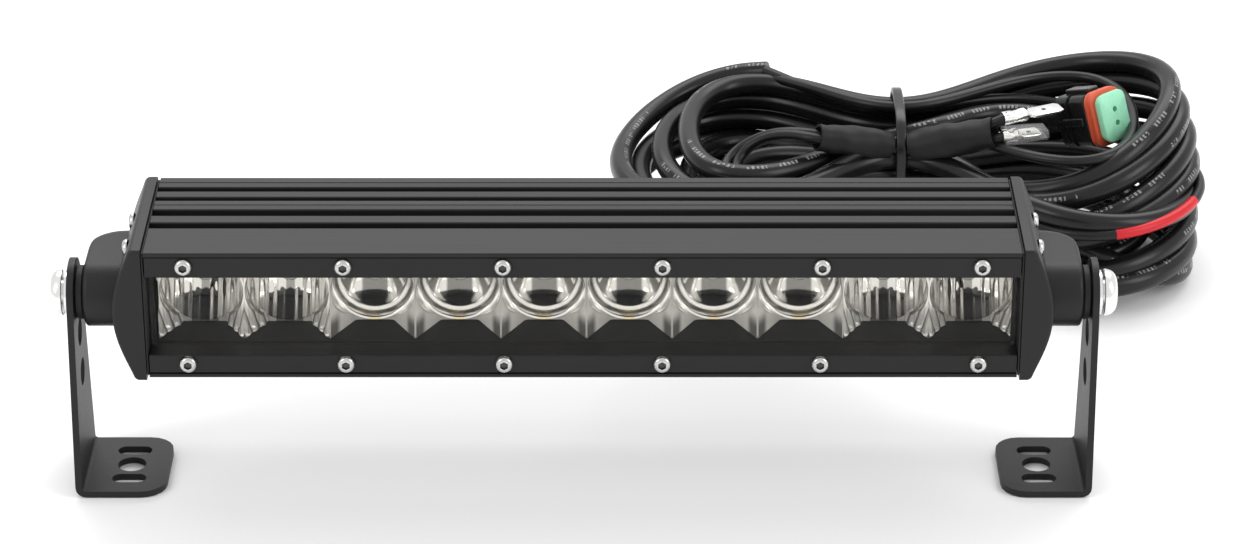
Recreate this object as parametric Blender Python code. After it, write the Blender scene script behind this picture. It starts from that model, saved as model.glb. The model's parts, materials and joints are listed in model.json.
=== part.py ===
"""LED light bar on two tilting brackets, with its wiring harness folded into a tied hank behind it.

Metres, +Z up. The bar runs along X, its lens faces -Y, and the bracket feet stand on Z = 0.
The origin is on that surface, under the middle of the lamp. Pieces of the lamp are modelled
round the bolt axis of the brackets, and are parented to an empty on that axis.
"""

import math

import bmesh
import bpy
from mathutils import Vector

MM = 0.001
GAP = 0.2 * MM

# Bolt axis of the brackets
AXIS_HEIGHT = 60.0 * MM

# Housing: an aluminium extrusion. Y and Z are measured from the bolt axis.
HOUSING_HALF = 127.0 * MM
HALF_HEIGHT = 20.25 * MM
FRONT_Y = -15.7 * MM
REAR_Y = 36.1 * MM
LIP = 1.2 * MM
EDGE = 0.3 * MM
GROOVE_DEPTH = 5.5 * MM
TOP_GROOVES = (
    (1.3 * MM, 4.9 * MM),
    (9.75 * MM, 13.75 * MM),
    (20.05 * MM, 22.35 * MM),
    (26.45 * MM, 29.15 * MM),
)
SCORE_Y = (16.9 * MM, 32.4 * MM)
SCORE = 0.3 * MM
REAR_GROOVE_DEPTH = 4.5 * MM
REAR_GROOVES = ((2.2 * MM, 5.0 * MM), (8.4 * MM, 11.2 * MM), (14.6 * MM, 16.8 * MM))
BOWL_HALF = 13.3 * MM
WEB_FRONT = 15.9 * MM
WEB = 3.0 * MM
DRIVER_ROOM_HALF = 12.2 * MM
DRIVER_ROOM_REAR = 29.6 * MM

# Window: lens, gasket and the two clamp rails
LENS_FRONT = -8.6 * MM
LENS_THICK = 3.0 * MM
LENS_HALF = 13.8 * MM
GASKET_THICK = 0.5 * MM
SEAT_Y = LENS_FRONT + LENS_THICK + GASKET_THICK + 0.1 * MM
RAIL_FRONT = -15.5 * MM
UPPER_RAIL_EDGE = 12.25 * MM
LOWER_RAIL_EDGE = -13.05 * MM

# Screws of the rails, the end caps and the LED board
RAIL_SCREW_X = [(-2.5 + i) * 46.2 * MM for i in range(6)]
UPPER_SCREW_Z = 15.95 * MM
LOWER_SCREW_Z = -15.65 * MM
SCREW_HEAD_R = 2.6 * MM
SCREW_HEAD = 1.5 * MM
SCREW_SHANK_R = 1.3 * MM
SCREW_HOLE_R = 1.55 * MM
RAIL_SCREW_LONG = 11.0 * MM
CAP_SCREW_YZ = [(y * MM, z * MM) for y in (-1.7, 16.3) for z in (15.25, -15.25)]
CAP_SCREW_LONG = 13.0 * MM
CAP_SCREW_SEAT = 5.3 * MM

# Light engine
CUPS = 10
PITCH = 25.2 * MM
STRIP_SHIFT = 0.9 * MM
BOWL_VERTEX = 14.3 * MM
BOWL_LATUS = 17.2 * MM
REFLECTOR_BACK = 13.7 * MM
REFLECTOR_HALF = 13.0 * MM
REFLECTOR_FRONT = -4.7 * MM
LED_HOLE_R = 3.0 * MM
BOARD_FRONT = 14.0 * MM
BOARD_THICK = 1.6 * MM
LED_SIDE = 3.5 * MM
LED_HIGH = 1.2 * MM
BOARD_SCREWS = [(STRIP_SHIFT + side * 2 * PITCH, z * MM) for side in (-1, 1) for z in (-9.5, 9.5)]

# End caps
CAP_BASE = 127.8 * MM
CAP_HALF = 21.2 * MM
CAP_FRONT = -16.1 * MM
CAP_REAR = 36.7 * MM
CAP_EDGE = 3.5 * MM
CAP_BULGE = 5.6 * MM
CAP_ROUND = 1.2 * MM
BOSS_R = 10.0 * MM
BOSS_FACE = 146.3 * MM
BOSS_REAR = 18.5 * MM
BOSS_CORNER = 10.0 * MM
BOLT_HOLE_R = 4.0 * MM
BOLT_HOLE_DEEP = 17.0 * MM

# Bracket and its bolt
PLATE = 2.0 * MM
ARM_INNER = 148.9 * MM
ARM_TOP_R = 10.3 * MM
FOOT_LONG = 26.5 * MM
FOOT_WIDE = 33.5 * MM
FOOT_CORNER = 7.5 * MM
BEND_R = 3.0 * MM
HOLE_R = 4.25 * MM
SPARE_HOLES = (13.2 * MM, 26.4 * MM)
FOOT_HOLE_IN = 15.0 * MM
SLOT_LONG = 10.3 * MM
SLOT_WIDE = 5.0 * MM
SLOT_Y = 8.5 * MM
SHANK_R = 3.8 * MM
BOLT_HEAD_R = 6.9 * MM
BOLT_HEAD = 4.0 * MM
HEAD_BASE = 152.8 * MM
SHANK_END = 131.0 * MM

# Cable gland, on the back of the housing
GLAND_X = 50.0 * MM
GLAND_POCKET_R = 9.0 * MM
GLAND_POCKET_Y = 31.6 * MM
GLAND_END = 46.0 * MM
CABLE_R = 3.65 * MM
RELIEF_LONG = 20.0 * MM

# The lamp's front is the rail screws' heads and its back the gland's nose. The origin is midway.
AXIS_Y = -(RAIL_FRONT - GAP - SCREW_HEAD + GLAND_END) / 2

# Hank of cable, on the surface behind the lamp. Its Y is measured from the bolt axis too.
HANK_X = 103.5 * MM
HANK_HALF_LONG = 99.5 * MM
HANK_HALF_WIDE = 54.0 * MM
HANK_Y = 168.0 * MM
HANK_LEAN = (6.0 * MM, 16.0 * MM)
HANK_TOPS = (42.0 * MM, 57.0 * MM)
HANK_SHEAR = 0.55
WAIST_SHARE = 0.356
WAIST_HIGH = 45.0 * MM
WAIST_LIFT = 3.0 * MM
WELL_X = (112.0 * MM, 184.0 * MM)
WELL_Y = (126.0 * MM, 183.0 * MM)
WELL_FLOOR = 33.0 * MM
TIE_SWELL = 0.9 * MM
TIE_WIDE = 3.4 * MM
TIE_THICK = 1.4 * MM
LEAD_POINTS = (
    (50.0, 66.6, 60.0),
    (50.0, 70.0, 59.9),
    (50.3, 75.5, 58.2),
    (50.9, 80.5, 54.8),
    (51.5, 85.5, 50.0),
    (52.2, 92.5, 43.0),
    (52.9, 100.5, 35.0),
    (54.2, 109.0, 27.6),
)
PLUG_PLACE = Vector((172.5, 149.0, 49.6)) * MM
PLUG_AIM = Vector((0.60, -0.70, 0.36)).normalized()
SLEEVE_START = Vector((107.2, 151.4, 37.4)) * MM
SLEEVE_END = Vector((133.4, 143.5, 46.0)) * MM
SPLICE_START = Vector((99.8, 152.4, 37.6)) * MM
SPLICE_END = Vector((75.5, 145.5, 43.4)) * MM
SLEEVES = (
    ("terminal_sleeve", SLEEVE_START, SLEEVE_END, 5.5 * MM),
    ("splice_sleeve", SPLICE_START, SPLICE_END, 5.0 * MM),
)
TERMINALS = (
    ("terminal_positive", Vector((136.0, 144.8, 50.4)) * MM, Vector((0.94, 0.34, 0.05)), 21.0 * MM),
    ("terminal_negative", Vector((135.8, 142.4, 45.2)) * MM, Vector((0.97, 0.24, 0.02)), 13.0 * MM),
)


# ---------------------------------------------------------------- helpers


def clear_scene():
    for obj in list(bpy.data.objects):
        bpy.data.objects.remove(obj, do_unlink=True)


def material(name, color, roughness, metallic=0.0):
    made = bpy.data.materials.new(name)
    made.use_nodes = True
    shader = made.node_tree.nodes["Principled BSDF"]
    shader.inputs["Base Color"].default_value = (*color, 1.0)
    shader.inputs["Roughness"].default_value = roughness
    shader.inputs["Metallic"].default_value = metallic
    made.diffuse_color = (*color, 1.0)
    return made


def empty(name, place):
    made = bpy.data.objects.new(name, None)
    made.location = place
    bpy.context.scene.collection.objects.link(made)
    return made


def add(name, bm, finish, parent=None, place=(0, 0, 0)):
    """Makes an object of a bmesh, with its faces out, smooth where it is round."""
    bmesh.ops.recalc_face_normals(bm, faces=bm.faces)
    mesh = bpy.data.meshes.new(name)
    bm.to_mesh(mesh)
    bm.free()
    mesh.shade_smooth()
    mesh.set_sharp_from_angle(angle=math.radians(35))
    if finish:
        mesh.materials.append(finish)
    obj = bpy.data.objects.new(name, mesh)
    obj.location = place
    obj.parent = parent
    bpy.context.scene.collection.objects.link(obj)
    return obj


def boolean(obj, tool, operation="DIFFERENCE"):
    """Cuts the tool from the object or joins it on, and hides the tool."""
    tool.hide_render = True
    tool.display_type = "WIRE"
    modifier = obj.modifiers.new(tool.name, "BOOLEAN")
    modifier.object = tool
    modifier.operation = operation
    modifier.solver = "EXACT"


def point(axis, across, up, along):
    """A point by its two places across an axis, in X, Y, Z order, and its place along it."""
    return {"X": (along, across, up), "Y": (across, along, up), "Z": (across, up, along)}[axis]


def loft(rings, bm=None, closed=False):
    """Joins rings that have as many points each with quads. The ends are capped, or joined if closed."""
    bm = bm or bmesh.new()
    made = [[bm.verts.new(p) for p in ring] for ring in rings]
    pairs = list(zip(made, made[1:])) + ([(made[-1], made[0])] if closed else [])
    for first, second in pairs:
        for i in range(len(first)):
            j = (i + 1) % len(first)
            bm.faces.new((first[i], first[j], second[j], second[i]))
    if not closed:
        bm.faces.new(made[0][::-1])
        bm.faces.new(made[-1])
    return bm


def prism(outline, low, high, axis, bm=None):
    """A closed outline pushed along an axis."""
    return loft([[point(axis, u, v, w) for u, v in outline] for w in (low, high)], bm)


def turned(profile, axis, center=(0, 0), steps=16, closed=False, bm=None):
    """Turns (place along the axis, radius) pairs round the axis. A closed profile makes a ring."""
    rings = []
    for along, radius in profile:
        turns = [math.tau * (i + 0.5) / steps for i in range(steps)]
        outline = [(center[0] + radius * math.cos(a), center[1] + radius * math.sin(a)) for a in turns]
        rings.append([point(axis, u, v, along) for u, v in outline])
    return loft(rings, bm, closed)


def arc(center, radius, start, end, steps):
    """Points on an arc, its angles in degrees."""
    angles = [math.radians(start + (end - start) * i / steps) for i in range(steps + 1)]
    return [(center[0] + radius * math.cos(a), center[1] + radius * math.sin(a)) for a in angles]


def rounded_box(low, high, radius, steps=3):
    """The outline of a rectangle with round corners."""
    (u0, v0), (u1, v1) = low, high
    corners = (
        ((u1 - radius, v1 - radius), 0),
        ((u0 + radius, v1 - radius), 90),
        ((u0 + radius, v0 + radius), 180),
        ((u1 - radius, v0 + radius), 270),
    )
    return [p for center, start in corners for p in arc(center, radius, start, start + 90, steps)]


def bores(name, places, radius, low, high, axis, parent, steps=12):
    """One cutter made of several round bores. places are the two coordinates across the axis."""
    bm = bmesh.new()
    for place in places:
        turned([(low, radius), (high, radius)], axis, place, steps, bm=bm)
    return add(name, bm, None, parent)


def screw(name, axis, face, out, center, long, finish, parent, steps=12):
    """A button-head screw with a round socket. out is +1 or -1, the way its head points along the axis."""
    dome = [
        (face + out * SCREW_HEAD * math.sin(a), SCREW_HEAD_R * math.cos(a) ** 0.7)
        for a in (0.0, 0.55, 1.0, 1.25)
    ]
    socket_r = 0.42 * SCREW_HEAD_R
    top = dome[-1][0]
    profile = [(face - out * long, SCREW_SHANK_R), (face, SCREW_SHANK_R), *dome]
    profile += [(top, socket_r), (top - out * 0.6 * SCREW_HEAD, socket_r)]
    return add(name, turned(profile, axis, center, steps), finish, parent)


# ---------------------------------------------------------------- housing and end caps


def housing_outline():
    """The extrusion's section: finned top, bottom and back, and a stepped window at the front."""
    top = [
        (FRONT_Y, HALF_HEIGHT - LIP),
        (FRONT_Y, HALF_HEIGHT - EDGE),
        (FRONT_Y + EDGE, HALF_HEIGHT),
    ]
    cuts = [(a, b, GROOVE_DEPTH, EDGE) for a, b in TOP_GROOVES]
    cuts += [(y - SCORE, y + SCORE, SCORE, 0.0) for y in SCORE_Y]
    for start, end, depth, edge in sorted(cuts):
        floor = HALF_HEIGHT - depth
        if edge:
            top += [(start - edge, HALF_HEIGHT), (start, HALF_HEIGHT - edge), (start, floor)]
            top += [(end, floor), (end, HALF_HEIGHT - edge), (end + edge, HALF_HEIGHT)]
        else:
            top += [(start, HALF_HEIGHT), ((start + end) / 2, floor), (end, HALF_HEIGHT)]
    top += [(REAR_Y - EDGE, HALF_HEIGHT), (REAR_Y, HALF_HEIGHT - EDGE)]
    for low, high in REAR_GROOVES[::-1]:
        floor = REAR_Y - REAR_GROOVE_DEPTH
        top += [(REAR_Y, high + EDGE), (REAR_Y - EDGE, high), (floor, high)]
        top += [(floor, low), (REAR_Y - EDGE, low), (REAR_Y, low - EDGE)]
    inside = [
        (WEB_FRONT, BOWL_HALF),
        (SEAT_Y, BOWL_HALF),
        (SEAT_Y, LENS_HALF + 0.15 * MM),
        (LENS_FRONT, LENS_HALF + 0.15 * MM),
        (LENS_FRONT, HALF_HEIGHT - LIP),
    ]
    upper = inside + top
    return upper + [(y, -z) for y, z in reversed(upper)]


def make_housing(finish, parent):
    shape = prism(housing_outline(), -HOUSING_HALF, HOUSING_HALF, "X")
    housing = add("housing_extrusion", shape, finish, parent)
    room = rounded_box((WEB_FRONT + WEB, -DRIVER_ROOM_HALF), (DRIVER_ROOM_REAR, DRIVER_ROOM_HALF), 1.0 * MM, 1)
    past = HOUSING_HALF + 1.0 * MM
    boolean(housing, add("cut_driver_room", prism(room, -past, past, "X"), None, parent))
    rows = [(x, z) for x in RAIL_SCREW_X for z in (UPPER_SCREW_Z, LOWER_SCREW_Z)]
    end = RAIL_FRONT + RAIL_SCREW_LONG + 0.5 * MM
    boolean(housing, bores("cut_rail_screws", rows, SCREW_HOLE_R, LENS_FRONT - MM, end, "Y", parent, 8))
    deep = HOUSING_HALF - CAP_SCREW_LONG
    for side, low, high in (("left", -past, -deep), ("right", deep, past)):
        boolean(housing, bores(f"cut_cap_screws_{side}", CAP_SCREW_YZ, SCREW_HOLE_R, low, high, "X", parent, 8))
    web_back = WEB_FRONT + WEB + MM
    front = 14.0 * MM
    boolean(housing, bores("cut_board_screws", BOARD_SCREWS, SCREW_HOLE_R, front, web_back, "Y", parent, 8))
    boolean(housing, bores("cut_lead_hole", [(75.0 * MM, 0)], 2.5 * MM, front, web_back, "Y", parent, 8))
    gland = [(GLAND_X, 0)]
    boolean(
        housing, bores("cut_gland_pocket", gland, GLAND_POCKET_R, GLAND_POCKET_Y, REAR_Y + MM, "Y", parent, 24)
    )
    boolean(housing, bores("cut_gland_hole", gland, 4.6 * MM, 29.0 * MM, 33.0 * MM, "Y", parent, 16))


def cap_thickness(z):
    """The end cap bulges at mid-height, and its long edges are rounded over."""
    rise = CAP_EDGE + CAP_BULGE * (1 - (z / CAP_HALF) ** 2) ** 1.3
    inward = max(0.0, CAP_ROUND - (CAP_HALF - abs(z)))
    return rise - (CAP_ROUND - math.sqrt(CAP_ROUND**2 - inward**2))


def cap_ring(side, y, inset):
    """The cap's section at a depth, drawn in by an inset where its front and rear edges are rounded."""
    half = CAP_HALF - inset
    steps = 18
    heights = [half * math.sin(math.pi / 2 * (2 * i / steps - 1)) for i in range(steps + 1)]
    outer = [(CAP_BASE + cap_thickness(z * CAP_HALF / half) - inset, z) for z in heights]
    ring = [(CAP_BASE, -half), *outer, (CAP_BASE, half)]
    return [(side * x, y, z) for x, z in ring]


def boss_ring(side, x, shrink, rear):
    """An obround round the bolt axis that reaches back to a rear centre."""
    radius = BOSS_R - shrink
    outline = arc((rear, 0), radius, -90, 90, 10) + arc((0, 0), radius, 90, 270, 10)
    return [(side * x, y, z) for y, z in outline]


def boss_rear(part):
    """The boss's rear centre at a share of its corner's radius."""
    return BOSS_REAR - BOSS_CORNER * (1 - math.sqrt(1 - part**2))


def make_end_cap(name, side, finish, parent):
    depths = (
        (CAP_FRONT, 0.5 * MM),
        (CAP_FRONT + 0.5 * MM, 0),
        (CAP_REAR - 2.4 * MM, 0),
        (CAP_REAR - 0.8 * MM, 0.6 * MM),
        (CAP_REAR, 2.0 * MM),
    )
    cap = add(name, loft([cap_ring(side, y, inset) for y, inset in depths]), finish, parent)
    start = BOSS_FACE - BOSS_CORNER
    rings = [boss_ring(side, CAP_BASE + 1.0 * MM, 0, BOSS_REAR)]
    for part in (0.0, 0.35, 0.6, 0.8, 0.92):
        rings.append(boss_ring(side, start + part * BOSS_CORNER, 0, boss_rear(part)))
    rings.append(boss_ring(side, BOSS_FACE, 0.9 * MM, boss_rear(0.99)))
    boolean(cap, add(f"join_boss_{name}", loft(rings), None, parent), "UNION")
    low, high = sorted((side * (BOSS_FACE - BOLT_HOLE_DEEP), side * (BOSS_FACE + MM)))
    boolean(cap, bores(f"cut_bolt_{name}", [(0, 0)], BOLT_HOLE_R, low, high, "X", parent, 14))
    low, high = sorted((side * (CAP_BASE - MM), side * (CAP_BASE + 12 * MM)))
    boolean(cap, bores(f"cut_screws_{name}", CAP_SCREW_YZ, SCREW_HOLE_R, low, high, "X", parent, 8))
    low, high = sorted((side * (CAP_BASE + CAP_SCREW_SEAT), side * (CAP_BASE + 12 * MM)))
    seats = bores(f"cut_seats_{name}", CAP_SCREW_YZ, SCREW_HEAD_R + 0.5 * MM, low, high, "X", parent, 14)
    boolean(cap, seats)


def make_end_gasket(name, side, finish, parent):
    outline = rounded_box((FRONT_Y + EDGE, EDGE - HALF_HEIGHT), (REAR_Y - EDGE, HALF_HEIGHT - EDGE), MM)
    low, high = sorted((side * (HOUSING_HALF + GAP), side * (CAP_BASE - GAP)))
    gasket = add(name, prism(outline, low, high, "X"), finish, parent)
    hole = rounded_box((SEAT_Y, -DRIVER_ROOM_HALF), (DRIVER_ROOM_REAR, DRIVER_ROOM_HALF), MM)
    boolean(gasket, add(f"cut_{name}", prism(hole, low - MM, high + MM, "X"), None, parent))
    boolean(gasket, bores(f"cut_screws_{name}", CAP_SCREW_YZ, SCREW_HOLE_R, low - MM, high + MM, "X", parent, 8))


# ---------------------------------------------------------------- window and light engine


def make_rail(name, inner, outer, screw_z, finish, parent):
    """A flat bar that clamps the lens's long edge. Its front corners are broken."""
    low, high = sorted((inner, outer))
    back = LENS_FRONT - GAP
    outline = [
        (back, low),
        (back, high),
        (RAIL_FRONT + EDGE, high),
        (RAIL_FRONT, high - EDGE),
        (RAIL_FRONT, low + EDGE),
        (RAIL_FRONT + EDGE, low),
    ]
    end = HOUSING_HALF - GAP
    rail = add(name, prism(outline, -end, end, "X"), finish, parent)
    places = [(x, screw_z) for x in RAIL_SCREW_X]
    boolean(rail, bores(f"cut_{name}", places, SCREW_HOLE_R, RAIL_FRONT - MM, back + MM, "Y", parent, 8))


def make_lens(finish, gasket_finish, parent):
    end = HOUSING_HALF - GAP
    back = LENS_FRONT + LENS_THICK
    outline = rounded_box((-end, -LENS_HALF), (end, LENS_HALF), 1.0 * MM, 2)
    add("lens", prism(outline, LENS_FRONT, back, "Y"), finish, parent)
    shape = prism(outline, back + 0.05 * MM, SEAT_Y - 0.05 * MM, "Y")
    gasket = add("lens_gasket", shape, gasket_finish, parent)
    wide = end - 1.2 * MM
    hole = rounded_box((-wide, -BOWL_HALF), (wide, BOWL_HALF), 0.5 * MM, 1)
    boolean(gasket, add("cut_lens_gasket", prism(hole, back - MM, SEAT_Y + MM, "Y"), None, parent))


def bowl_depth(x, z):
    """The depth of the reflector's face: a paraboloid round each cup's own axis, with ridges between them."""
    across = (x - STRIP_SHIFT) % PITCH - PITCH / 2
    depth = BOWL_VERTEX - (across**2 + z**2) / BOWL_LATUS
    return min(max(depth, REFLECTOR_FRONT), REFLECTOR_BACK - 0.8 * MM)


def make_reflector(name, first, last, finish, parent):
    """A block whose face holds the bowls of cups first to last, with a hole for each LED."""
    edge = STRIP_SHIFT - CUPS / 2 * PITCH
    columns = 10 * (last - first + 1)
    start = edge + first * PITCH + GAP / 2
    end = edge + (last + 1) * PITCH - GAP / 2
    xs = [start + (end - start) * i / columns for i in range(columns + 1)]
    zs = [REFLECTOR_HALF * (2 * i / 6 - 1) for i in range(7)]
    bm = bmesh.new()
    face = [[bm.verts.new((x, bowl_depth(x, z), z)) for z in zs] for x in xs]
    for left, right in zip(face, face[1:]):
        for a, b, c, d in zip(left, left[1:], right[1:], right):
            bm.faces.new((a, b, c, d))
    corners = [(x, z) for x in (start, end) for z in (-REFLECTOR_HALF, REFLECTOR_HALF)]
    around = [bm.verts.new((x, REFLECTOR_BACK, z)) for x, z in corners]
    back = dict(zip(("low_left", "high_left", "low_right", "high_right"), around))
    low, high = [row[0] for row in face], [row[-1] for row in face]
    bm.faces.new((*low, back["low_right"], back["low_left"]))
    bm.faces.new((*high[::-1], back["high_left"], back["high_right"]))
    bm.faces.new((*face[0][::-1], back["low_left"], back["high_left"]))
    bm.faces.new((*face[-1], back["high_right"], back["low_right"]))
    bm.faces.new((back["low_left"], back["low_right"], back["high_right"], back["high_left"]))
    reflector = add(name, bm, finish, parent)
    centers = [(edge + (i + 0.5) * PITCH, 0) for i in range(first, last + 1)]
    boolean(reflector, bores(f"cut_{name}", centers, LED_HOLE_R, 8 * MM, 15 * MM, "Y", parent))
    heads = [(x, z) for x, z in BOARD_SCREWS if start < x < end]
    if heads:
        pocket = bores(f"cut_heads_{name}", heads, SCREW_HEAD_R + 0.4 * MM, 11.6 * MM, 15 * MM, "Y", parent)
        boolean(reflector, pocket)


def make_boards(board_finish, driver_finish, parent):
    """The LED board, with its LEDs soldered on, and the driver board behind the web."""
    long = HOUSING_HALF - 1.5 * MM
    flat = rounded_box((-long, -12.6 * MM), (long, 12.6 * MM), MM, 1)
    board = add("led_board", prism(flat, BOARD_FRONT, BOARD_FRONT + BOARD_THICK, "Y"), board_finish, parent)
    bm = bmesh.new()
    for i in range(CUPS):
        x = STRIP_SHIFT + (i + 0.5 - CUPS / 2) * PITCH
        half = LED_SIDE / 2
        prism(
            rounded_box((x - half, -half), (x + half, half), 0.4 * MM, 1),
            BOARD_FRONT - LED_HIGH,
            BOARD_FRONT + 0.5 * MM,
            "Y",
            bm,
        )
    boolean(board, add("join_leds", bm, None, parent), "UNION")
    boolean(board, bores("cut_led_board", BOARD_SCREWS, SCREW_HOLE_R, 13 * MM, 17 * MM, "Y", parent, 8))
    flat = rounded_box((-70 * MM, -11.2 * MM), (45 * MM, 11.2 * MM), MM, 1)
    driver = add("driver_board", prism(flat, 26.4 * MM, 28.0 * MM, "Y"), driver_finish, parent)
    bm = bmesh.new()
    for x, wide, high, tall in ((-50, 14, 12, 6.2), (-24, 16, 16, 5.4), (0, 10, 10, 6.2), (22, 12, 8, 4.0)):
        low, top = ((x - wide / 2) * MM, -high / 2 * MM), ((x + wide / 2) * MM, high / 2 * MM)
        prism(rounded_box(low, top, MM, 1), (26.6 - tall) * MM, 26.8 * MM, "Y", bm)
    boolean(driver, add("join_driver_parts", bm, None, parent), "UNION")


# ---------------------------------------------------------------- brackets and bolts


def strip_station(s):
    """A place along the bracket's plate, s metres from the top of its arm: its outer face's place,
    the way out of that face, and the plate's half width there."""
    tall = AXIS_HEIGHT + ARM_TOP_R
    straight = tall - BEND_R
    bend = BEND_R * math.pi / 2
    outer = ARM_INNER + PLATE
    if s <= straight:
        place, out = (outer, ARM_TOP_R - s), (1.0, 0.0)
    elif s <= straight + bend:
        turn = (s - straight) / BEND_R
        out = (math.cos(turn), -math.sin(turn))
        place = (outer - BEND_R + BEND_R * out[0], -AXIS_HEIGHT + BEND_R + BEND_R * out[1])
    else:
        place, out = (outer - BEND_R - (s - straight - bend), -AXIS_HEIGHT), (0.0, -1.0)
    if s < ARM_TOP_R:
        half = math.sqrt(max(ARM_TOP_R**2 - (ARM_TOP_R - s) ** 2, 0))
    else:
        share = min(1.0, (s - ARM_TOP_R) / (straight - ARM_TOP_R))
        half = ARM_TOP_R + (FOOT_WIDE / 2 - ARM_TOP_R) * share
    left = straight + bend + FOOT_LONG - BEND_R - s
    if left < FOOT_CORNER:
        half -= FOOT_CORNER - math.sqrt(max(FOOT_CORNER**2 - (FOOT_CORNER - left) ** 2, 0))
    return place, out, half


def make_bracket(name, side, finish, parent):
    """An L of flat plate: a tapering arm with a round top, a bend, and a foot with round corners."""
    straight = AXIS_HEIGHT + ARM_TOP_R - BEND_R
    bend = BEND_R * math.pi / 2
    long = straight + bend + FOOT_LONG - BEND_R
    stations = [ARM_TOP_R * (1 - math.cos(math.radians(a))) for a in (8, 20, 32, 44, 56, 68, 80, 90)]
    stations += [straight + bend * i / 4 for i in range(5)]
    stations += [long - FOOT_CORNER * (1 - math.sin(math.radians(a))) for a in (0, 18, 36, 54, 72, 90)]
    rings = []
    for s in stations:
        (x, z), (out_x, out_z), half = strip_station(s)
        inner = (x - PLATE * out_x, z - PLATE * out_z)
        flat = [(x, -half, z), (x, half, z), (inner[0], half, inner[1]), (inner[0], -half, inner[1])]
        rings.append([(side * px, py, pz) for px, py, pz in flat])
    bracket = add(name, loft(rings), finish, parent)
    low, high = sorted((side * (ARM_INNER - MM), side * (ARM_INNER + PLATE + MM)))
    arm_holes = [(0, -drop) for drop in (0, *SPARE_HOLES)]
    boolean(bracket, bores(f"cut_arm_{name}", arm_holes, HOLE_R, low, high, "X", parent, 20))
    hole_x = side * (ARM_INNER + PLATE - FOOT_HOLE_IN)
    below, above = -AXIS_HEIGHT - MM, -AXIS_HEIGHT + PLATE + MM
    bm = turned([(below, HOLE_R), (above, HOLE_R)], "Z", (hole_x, 0), 24)
    for y in (-SLOT_Y, SLOT_Y):
        low = (hole_x - SLOT_LONG / 2, y - SLOT_WIDE / 2)
        high = (hole_x + SLOT_LONG / 2, y + SLOT_WIDE / 2)
        prism(rounded_box(low, high, 0.99 * SLOT_WIDE / 2, 4), below, above, "Z", bm)
    boolean(bracket, add(f"cut_foot_{name}", bm, None, parent))


def make_fixings(side_name, side, steel, rubber, parent):
    """The rubber washer inside the arm, the lock washer outside it, and the bolt through both."""

    def ring(name, start, end, radius, finish):
        profile = [(start, SHANK_R + GAP), (start, radius), (end, radius), (end, SHANK_R + GAP)]
        bm = turned([(side * x, r) for x, r in profile], "X", steps=20, closed=True)
        add(f"{name}_{side_name}", bm, finish, parent)

    ring("spacer_washer", BOSS_FACE + GAP, ARM_INNER - GAP, 8.0 * MM, rubber)
    ring("lock_washer", ARM_INNER + PLATE + GAP, HEAD_BASE - 2 * GAP, 6.5 * MM, steel)
    dome = [
        (HEAD_BASE + BOLT_HEAD * (0.2 + 0.8 * math.sin(a)), BOLT_HEAD_R * math.cos(a))
        for a in (0, 0.35, 0.7, 1.0)
    ]
    profile = [(SHANK_END, SHANK_R - 0.8 * MM), (SHANK_END + 0.8 * MM, SHANK_R), (HEAD_BASE, SHANK_R)]
    profile += [(HEAD_BASE, BOLT_HEAD_R), *dome]
    top = HEAD_BASE + BOLT_HEAD
    profile += [(top, 2.6 * MM), (top - 2.4 * MM, 2.6 * MM)]
    add(f"mounting_bolt_{side_name}", turned([(side * x, r) for x, r in profile], "X", steps=20), steel, parent)


# ---------------------------------------------------------------- cable, hank and what is on it


def smooth_line(points, per_span):
    """Points on a Catmull-Rom curve through the given ones."""
    ends = [2 * points[0] - points[1], *points, 2 * points[-1] - points[-2]]
    line = []
    for a, b, c, d in zip(ends, ends[1:], ends[2:], ends[3:]):
        for i in range(per_span):
            t = i / per_span
            bend, twist = 2 * a - 5 * b + 4 * c - d, 3 * b - a - 3 * c + d
            line.append(0.5 * (2 * b + (c - a) * t + bend * t**2 + twist * t**3))
    return [*line, points[-1]]


def make_lead(finish):
    """The stretch of cable between the strain relief and the hank."""
    shift = Vector((0, AXIS_Y, 0))
    line = smooth_line([Vector(p) * MM + shift for p in LEAD_POINTS], 2)
    curve = bpy.data.curves.new("lead_cable", "CURVE")
    curve.dimensions = "3D"
    curve.bevel_depth = CABLE_R
    curve.bevel_resolution = 2
    curve.use_fill_caps = True
    spline = curve.splines.new("POLY")
    spline.points.add(len(line) - 1)
    for spline_point, place in zip(spline.points, line):
        spline_point.co = (*place, 1)
    curve.materials.append(finish)
    bpy.context.scene.collection.objects.link(bpy.data.objects.new("lead_cable", curve))


def hank_section(x, swell, steps=18):
    """The hank's outline across X: a rounded box, wide in the two lobes and drawn in at the tie.
    The right lobe is the taller one, and leans back as it rises."""
    u = (x - HANK_X) / HANK_HALF_LONG
    right = int(u > 0)
    lobe = 1 - math.exp(-((u / 0.36) ** 2))
    pinch = WAIST_SHARE + (1 - WAIST_SHARE) * lobe
    half = HANK_HALF_WIDE * pinch * max(1 - u**4, 0.0) ** 0.5 + swell
    middle = AXIS_Y + HANK_Y - HANK_LEAN[right] * (1 - math.exp(-((u / 0.4) ** 2)))
    top = (WAIST_HIGH + (HANK_TOPS[right] - WAIST_HIGH) * lobe) * (1 - 0.25 * u**8) + swell
    bottom = WAIST_LIFT * math.exp(-((u / 0.16) ** 2)) - swell
    ring = []
    for i in range(steps):
        a = math.tau * (i + 0.5) / steps
        across = math.copysign(abs(math.cos(a)) ** 0.6, math.cos(a))
        up = (top - bottom) / 2 * math.copysign(abs(math.sin(a)) ** 0.6, math.sin(a))
        lean = right * lobe * HANK_SHEAR * up
        ring.append((x, middle + half * across + lean, (top + bottom) / 2 + up))
    return ring


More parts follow.
